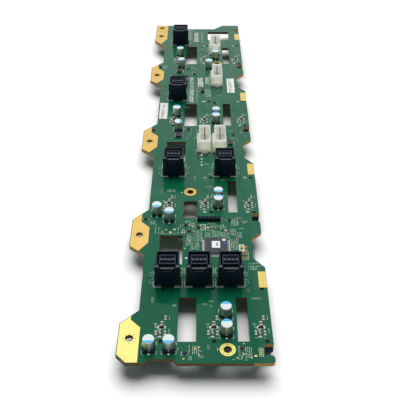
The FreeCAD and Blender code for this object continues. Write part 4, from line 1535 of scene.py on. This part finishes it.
    def dashes(self, a, b, way, width=dash_width, material=0):
        """Rows of short plain dashes that fill a rectangle; way is the axis that they run along."""
        along, across = (0, 1) if way == "x" else (1, 0)
        row = a[across] + width
        while row < b[across]:
            start = a[along] + self.draw.uniform(0, self.row_stagger)
            while start < b[along] - self.shortest_dash:
                end = min(start + self.draw.uniform(*self.dash_lengths), b[along])
                spots = [(start, row), (end, row)] if along == 0 else [(row, start), (row, end)]
                self.line(*spots, width=width, material=material)
                start = end + self.draw.uniform(*self.dash_gaps)
            row += self.row_gap + width

    def side_ticks(self, low, high):
        """Two columns of ticks beside each side of a cable receptacle."""
        for side, x in ((-1, low.x - 1.0), (1, high.x + 1.0)):
            for i in range(6):
                y = low.y + 1.4 + 2.0 * i
                self.line((x, y), (x + side * 0.8, y), width=0.3)
                if i % 3:
                    self.line((x + side * 1.3, y - 0.6), (x + side * 2.2, y - 0.6), width=0.3)

    def line(self, *points, width=None, material=0):
        """A printed line, left out where it would leave the board."""
        path = [Vector((*point, TOP)) for point in points]
        if on_board(*grown(*group_box(path), 0.2, 0.2)):
            self.tray.pour(band(path, width or self.width, self.gauge, material))

    def frame(self, x0, x1, y0, y1, width=None):
        """A printed rectangle."""
        a, b = place(x0, y0), place(x1, y1)
        self.line((a.x, a.y), (b.x, a.y), (b.x, b.y), (a.x, b.y), (a.x, a.y), width=width)

    def outline(self, low, high, margin, sides):
        """Lines along two facing sides of a part: the X sides, the Y sides or both."""
        low, high = grown(low, high, margin, margin)
        if sides[0]:
            self.line((low.x, low.y), (low.x, high.y))
            self.line((high.x, low.y), (high.x, high.y))
        if sides[1]:
            self.line((low.x, low.y), (high.x, low.y))
            self.line((low.x, high.y), (high.x, high.y))

    def brackets(self, low, high, margin, arm):
        """Corner brackets round a part."""
        low, high = grown(low, high, margin, margin)
        for x, inward in ((low.x, 1), (high.x, -1)):
            for y, up in ((low.y, 1), (high.y, -1)):
                self.line((x + inward * arm * 0.4, y), (x, y), (x, y + up * arm))

    def header_marks(self, number):
        """Outline of a power header, with a tick beside each pin."""
        low, high = box(f"power_header_{number}")
        x0, x1 = low.x - 0.6, high.x + 0.6
        self.line((x0, low.y), (x0, high.y))
        self.line((x1, low.y + 1.5), (x1, high.y))
        for pin_low, pin_high in solid_boxes(f"power_pins_{number}"):
            y = (pin_low.y + pin_high.y) / 2
            self.line((x0 - 1.6, y), (x0 - 0.5, y), width=0.5)

    def near_strip(self):
        """Marks along the near edge and round the wide test field."""
        for corners in self.near_frames:
            self.frame(*corners)
        a, b = (place(*corner) for corner in self.test_field)
        self.brackets(a, b, 0, 2.0)
        self.line((a.x, a.y), (b.x, a.y))
        self.dashes(Vector((a.x - 2.2, a.y)), Vector((a.x - 1.2, b.y + 4)), "y")
        self.line(*[place(*corner).xy for corner in self.near_cup])
        for x, y, length in self.near_ticks:
            spot = place(x, y)
            self.line((spot.x, spot.y), (spot.x + length, spot.y))

    def bay_marks(self):
        """Bars and frames beside each bay's parts."""
        pegs = [peg for _, _, peg in bays()]
        for centre in solid_middles("bay_arrays"):
            peg_y = nearest(centre, pegs).y
            for x0, x1, y0, y1 in self.bay_fields:
                self.dashes(Vector((centre.x + x0, peg_y + y0)), Vector((centre.x + x1, peg_y + y1)), "y")
            for x, y in self.bay_frames:
                spot = Vector((centre.x + x, peg_y + y, TOP))
                self.outline(*grown(spot, spot, 0.5, 0.4), 0.1, (True, True))
            for x0, x1, y in self.bay_bars:
                self.line((centre.x + x0, centre.y + y), (centre.x + x1, centre.y + y))


class MakeLoosePads(bpy.types.Operator):
    """Place the test pads, round lands and through-holes measured on the board"""

    bl_idname = "backplane.pads"
    bl_label = "Pads and through-holes"

    # Place and size of each test pad
    gold_pads = (
        (15.5, -8.3, 0.9), (19.0, -10.6, 0.8), (11.6, -10.5, 0.8), (21.3, -9.3, 1.4), (24.4, -5.5, 1.0),
        (24.2, -7.0, 1.0), (24.3, -8.4, 1.0), (-7.9, -8.7, 0.9), (-7.9, -3.8, 0.9), (-22.4, 304.9, 1.2),
        (21.1, 95.5, 0.8), (-15.9, -11.1, 0.9), (-9.9, -4.6, 0.9), (15.5, -1.4, 0.8),
    )
    light_pads = (
        (-18.4, 89.5, 0.8), (-19.0, 86.3, 0.8), (-17.4, 86.8, 0.8), (-12.0, 92.0, 1.2), (-16.8, 71.7, 1.0),
        (9.0, 88.4, 1.4), (-13.9, 78.4, 1.0), (-6.15, 167.6, 1.6), (-6.15, 164.2, 1.2), (-6.15, 159.8, 1.6),
        (-19.7, 127.5, 1.0), (2.4, 91.4, 0.7), (-13.8, 81.1, 0.7), (-5.1, 251.0, 1.6), (-14.2, 311.5, 1.3),
        (-3.4, 250.9, 0.9), (-15.6, 63.1, 1.7),
    )
    # Place and metal of each round land: the test field, then the row of indicators
    round_lands = (
        (-31.1, 87.0, "copper"), (-28.75, 89.2, "copper"), (-26.1, 86.8, "tin"), (-23.7, 89.4, "tin"),
        (-5.05, 91.5, "copper"), (-2.3, 91.3, "tin"), (0.24, 91.5, "copper"), (-6.15, 173.1, "tin"),
        (-6.15, 171.9, "tin"),
    )
    # Through-holes; their lands are gold at the first x's first two ys, and copper elsewhere
    through_xs = (18.2, 20.8)
    through_ys = (73.3, 70.2, 67.0, 63.5)

    def execute(self, context):
        tray = Tray()
        order = ["gold", "copper", "tin", "bore", "solder"]
        index = order.index
        for pads, material in ((self.gold_pads, "gold"), (self.light_pads, "solder")):
            for x, y, size in pads:
                pad = shape_of(block((size, size * 0.8, 0.06), 0.02, 0.04, 1, index(material)))
                tray.take(pad, at(place(x, y)))
        big = {name: shape_of(dot(0.8, 0.12, 24, index(name))) for name in ("copper", "tin")}
        for x, y, name in self.round_lands:
            tray.take(big[name], at(place(x, y)))
        lands = {name: shape_of(ring(0.85, 0.42, 0.07, 24, index(name))) for name in ("copper", "gold")}
        # Dark disc painted as the shade of the open through-hole
        hole = shape_of(dot(0.44, 0.03, 16, index("bore")))
        for x in self.through_xs:
            for y in self.through_ys:
                plated = x == self.through_xs[0] and y in self.through_ys[:2]
                tray.take(lands["gold" if plated else "copper"], at(place(x, y)))
                tray.take(hole, at(place(x, y)))
        finished(tray.bm, "loose_pads", order)
        return {"FINISHED"}


class MakeScatter(bpy.types.Operator):
    """Fill the busy areas of the board with small chips, pads, vias and their legend"""

    bl_idname = "backplane.scatter"
    bl_label = "Scattered small parts"

    # Busy areas: lowest and highest x, lowest and highest y, column and count of short rows
    areas = (
        (-18.5, -7.0, 60.0, 74.0, 0, 3), (-18.0, -6.5, 84.0, 103.0, 0, 11), (9.0, 20.0, 76.0, 103.0, 0, 8),
        (-8.0, 12.0, 86.0, 96.0, 0, 4), (-8.0, 8.0, 60.0, 66.0, 0, 2), (20.0, 27.0, 56.0, 62.0, 0, 2),
        (-40.0, -30.0, 24.0, 36.0, 0, 1), (-9.0, -1.0, 24.0, 37.0, 0, 3), (19.5, 27.0, 28.0, 38.0, 0, 2),
        (-9.0, -3.0, -11.0, -4.0, 0, 2),
        (-40.0, -30.5, 10.0, 34.0, 1, 1), (-9.0, 9.0, 24.0, 40.0, 1, 3), (-17.0, 22.0, 41.0, 60.0, 1, 2),
        (-18.0, -9.0, 84.0, 103.0, 1, 5), (12.5, 22.0, 78.0, 100.0, 1, 4), (-30.0, -19.0, 88.0, 98.0, 1, 2),
        (-9.0, 3.0, 60.0, 90.0, 1, 2), (21.0, 29.0, 86.0, 100.0, 1, 2),
        (-9.0, 9.0, 24.0, 52.0, 2, 3), (-18.0, -6.0, 56.0, 80.0, 2, 2),
        (-18.0, -9.0, 82.0, 103.0, 2, 4), (12.5, 28.0, 46.0, 62.0, 2, 2), (-30.0, -20.0, 86.0, 98.0, 2, 2),
        (12.0, 24.0, 92.0, 103.0, 2, 2), (-9.0, 3.0, 22.0, 45.0, 3, 3), (-17.0, -3.0, 40.0, 70.0, 3, 3),
        (-38.0, -30.0, 10.0, 34.0, 3, 1), (21.0, 29.0, 22.0, 46.0, 3, 1),
    )
    # Chips with a place of their own: x, y and turn
    placed = (
        (-10.9, 85.3, 90), (-8.2, 73.6, 90), (-12.4, 72.5, 90), (-15.7, 78.3, 0), (7.1, 89.7, 0),
        (8.9, 86.7, 0), (16.9, 84.2, 90), (11.5, 76.7, 90), (11.5, 73.3, 90), (13.4, 79.4, 0),
        (-6.7, 162.8, 90), (-0.8, 255.0, 0), (-5.1, 257.7, 0),
    )
    # Fields that stay free: lowest and highest x, lowest and highest y
    kept_free = ((-34, -20.8, 85, 91), (16.8, 22.4, 61.5, 74.5))
    clearance = 0.35
    row_pitch = 1.45
    longest_row = 4
    tries = 12
    vias = 900
    via_size = (0.2, 0.2)
    # Field of the vias: its near left place in the first column and its far right one in the last
    via_field = ((-40, -12), (30, 84))

    def execute(self, context):
        self.draw = random.Random(sizes().scatter_seed)
        self.taken = self.occupied()
        parts = Tray()
        legend = Tray()
        small = [chip(1.0, 0.5, 0.35, 0.22, body) for body in (0, 0, 2)]
        large = chip(1.6, 0.8, 0.5, 0.3, 0)
        for x, y, turn in self.placed:
            spot = place(x, y)
            self.taken.append(grown(spot, spot, 1, 1))
            parts.take(large, at(spot, turn))
            self.frame_lines(legend, spot, turn, 2.0, 1.0)
        for x0, x1, y0, y1, column, rows in self.areas:
            low, high = place(x0, y0, column), place(x1, y1, column)
            for _ in range(rows):
                self.lay_row(parts, legend, self.draw.choice(small), low, high)
        finished(parts.bm, "scattered_chips", ["black_chip", "chip_tin", "brown_chip"])
        finished(legend.bm, "scattered_legend", ["ink"])
        self.scatter_vias()
        return {"FINISHED"}

    def lay_row(self, parts, legend, shape, low, high):
        """A few chips side by side, each between two legend lines, where the area is free."""
        turn = self.draw.choice((0, 90))
        step = Vector((0, self.row_pitch, 0)) if turn == 0 else Vector((self.row_pitch, 0, 0))
        size = (1.3, 0.7) if turn == 0 else (0.7, 1.3)
        first = self.free_spot(low, high, size)
        if first is None:
            return
        for i in range(self.draw.randint(1, self.longest_row)):
            spot = first + step * i
            if i and not self.claim(spot, size):
                return
            parts.take(shape, at(spot, turn))
            self.frame_lines(legend, spot, turn, 1.3, 0.6)

    def occupied(self):
        """Rectangles that are taken: parts on the board, windows, pegs and the fields kept free."""
        nodes = [
            "capacitor_bases", "capacitor_leads", "package_bodies", "package_leads", "transistor_bodies",
            "transistor_leads", "bay_arrays", "bay_chips", "edge_pads", "ring_pads", "controller_leads",
            "signal_header", "paper_label_left", "paper_label_right", "cable_hold_downs",
        ]
        nodes += [f"cable_receptacle_{number}" for number in CABLE_NUMBERS]
        nodes += [f"power_header_{number}" for number in POWER_NUMBERS]
        taken = [corners for node in nodes for corners in solid_boxes(node)]
        taken.append(grown(*box("controller_leads"), 2, 2))
        taken += [grown(*corners, 1, 1) for corners in windows()]
        for _, _, peg in bays():
            far_peg = peg + Vector((0, PEG_SPACING, 0))
            taken += [grown(peg, peg, 2, 2), grown(far_peg, far_peg, 2, 2)]
        taken += [grown(spot, spot, 3.2, 7.0) for spot in solid_middles("bay_arrays")]
        taken += [(place(x0, y0), place(x1, y1)) for x0, x1, y0, y1 in self.kept_free]
        return taken

    def free_spot(self, low, high, size):
        """A random free place for a part, or None after a few tries; the place is then taken."""
        for _ in range(self.tries):
            spot = Vector((self.draw.uniform(low.x, high.x), self.draw.uniform(low.y, high.y), TOP))
            if self.claim(spot, size):
                return spot
        return None

    def claim(self, spot, size):
        """Take a place for a part if it is free and on the board."""
        a, b = grown(spot, spot, size[0] / 2 + self.clearance, size[1] / 2 + self.clearance)
        free = not any(a.x < q.x and b.x > p.x and a.y < q.y and b.y > p.y for p, q in self.taken)
        if free and on_board(a, b):
            self.taken.append((a, b))
            return True
        return False

    def frame_lines(self, tray, spot, turn, length, width):
        """Two legend lines along a chip's long sides."""
        matrix = at(spot, turn)
        for side in (-1, 1):
            y = side * (width / 2 + 0.22)
            ends = [matrix @ Vector((-length / 2, y, 0)), matrix @ Vector((length / 2, y, 0))]
            tray.pour(band(ends, 0.12, 0.02))

    def scatter_vias(self):
        """Tented vias over the whole board."""
        tray = Tray()
        via = shape_of(ring(0.3, 0.13, 0.035, 10))
        low, high = place(*self.via_field[0]), place(*self.via_field[1], COLUMNS - 1)
        for _ in range(self.vias):
            spot = self.free_spot(low, high, self.via_size)
            if spot is not None:
                tray.take(via, at(spot))
        finished(tray.bm, "tented_vias", ["trace"])


class MakeStage(bpy.types.Operator):
    """Set the pale floor, the studio light and the camera"""

    bl_idname = "backplane.stage"
    bl_label = "Stage"

    camera_place = (2.45, -412.8, 279.63)
    camera_tilt = 51.515
    camera_lens = 57.784
    sensor_width = 36.0
    lamp_tilt = 26.0
    lamp_spread = 54.0
    lamp_strength = 2.95
    reflector_place = (-0.18, 0.62, 1.0)
    reflector_size = (0.45, 0.35)
    reflector_power = 0.5
    sky = 0.11
    floor_reach = 6.0
    floor_grey = 0.8
    floor_grey_seen = 1.08

    def execute(self, context):
        self.floor()
        self.world()
        self.lamp()
        self.reflector()
        self.camera()
        context.scene.view_settings.view_transform = "Standard"
        return {"FINISHED"}

    def floor(self):
        """Pale floor, a little brighter to the camera than to the light that it bounces."""
        bm = bmesh.new()
        bmesh.ops.create_grid(bm, x_segments=2, y_segments=2, size=self.floor_reach)
        mesh = mesh_of(bm, "floor")
        material = bpy.data.materials.new("floor_paper")
        material.use_nodes = True
        nodes = Nodes(material.node_tree)
        seen = nodes.node("ShaderNodeLightPath", output=CAMERA_RAY)
        plain, bright = (
            nodes.node("ShaderNodeBsdfDiffuse", {"Color": (grey, grey, grey, 1)})
            for grey in (self.floor_grey, self.floor_grey_seen))
        shown = nodes.node("ShaderNodeMixShader", {0: seen, 1: plain, 2: bright})
        nodes.node("ShaderNodeOutputMaterial", {"Surface": shown})
        mesh.materials.append(material)
        floor = stand("floor", mesh)

    def world(self):
        """Even sky for the light, seen white by the camera, by metal and through clear parts."""
        world = bpy.data.worlds.new("studio")
        world.use_nodes = True
        bpy.context.scene.world = world
        nodes = Nodes(world.node_tree)
        rays = (CAMERA_RAY, GLOSSY_RAY, TRANSMISSION_RAY)
        camera, glossy, through = (nodes.node("ShaderNodeLightPath", output=ray) for ray in rays)
        seen = camera.at_least(glossy).at_least(through)
        strength = self.sky + seen * (1 - self.sky)
        sky = nodes.node("ShaderNodeBackground", {"Color": (1, 1, 1, 1), "Strength": strength})
        nodes.node("ShaderNodeOutputWorld", {"Surface": sky})

    def lamp(self):
        """Broad soft sun from above and behind the board."""
        light = bpy.data.lights.new("soft_sun", "SUN")
        light.angle = math.radians(self.lamp_spread)
        light.energy = self.lamp_strength
        lamp = stand("soft_sun", light)
        lamp.location = (0, 0, 1)
        lamp.rotation_euler = (-math.radians(self.lamp_tilt), 0, 0)
        lamp.visible_glossy = False

    def reflector(self):
        """Small panel that the gold of the near left tab mirrors."""
        light = bpy.data.lights.new("reflector", "AREA")
        light.shape = "RECTANGLE"
        light.size, light.size_y = self.reflector_size
        light.energy = self.reflector_power
        panel = stand("reflector", light)
        panel.location = self.reflector_place

    def camera(self):
        lens = bpy.data.cameras.new("camera")
        lens.lens = self.camera_lens
        lens.sensor_width = self.sensor_width
        camera = stand("camera", lens)
        camera.location = Vector(self.camera_place) / TO_MM
        camera.rotation_euler = (math.radians(self.camera_tilt), 0, 0)
        bpy.context.scene.camera = camera


OPERATORS = (
    MakeLabels,
    MakeBoard,
    MakeCableReceptacles,
    MakeDriveReceptacles,
    MakePowerHeaders,
    MakeCapacitors,
    MakeController,
    MakeSignalHeader,
    MakePackages,
    MakeBayParts,
    MakeTraces,
    MakeLegend,
    MakeLoosePads,
    MakeScatter,
    MakeStage,
)


class BackplanePanel(bpy.types.Panel):
    """Pieces of the backplane board"""

    bl_idname = "VIEW3D_PT_backplane"
    bl_label = "Backplane board"
    bl_space_type = "VIEW_3D"
    bl_region_type = "UI"
    bl_category = "Backplane"

    def draw(self, context):
        for operator in OPERATORS:
            self.layout.operator(operator.bl_idname)
        for group in (context.scene.backplane_sizes, context.scene.backplane_colours):
            for name in group.bl_rna.properties.keys():
                if name not in ("rna_type", "name"):
                    self.layout.prop(group, name)


CLASSES = (BackplaneColours, BackplaneSizes, *OPERATORS, BackplanePanel)


def register():
    for each in CLASSES:
        bpy.utils.register_class(each)
    bpy.types.Scene.backplane_colours = PointerProperty(type=BackplaneColours)
    bpy.types.Scene.backplane_sizes = PointerProperty(type=BackplaneSizes)


def unregister():
    del bpy.types.Scene.backplane_sizes
    del bpy.types.Scene.backplane_colours
    for each in reversed(CLASSES):
        bpy.utils.unregister_class(each)


def main():
    register()
    for operator in OPERATORS:
        group, name = operator.bl_idname.split(".")
        getattr(getattr(bpy.ops, group), name)()


if __name__ == "__main__":
    main()
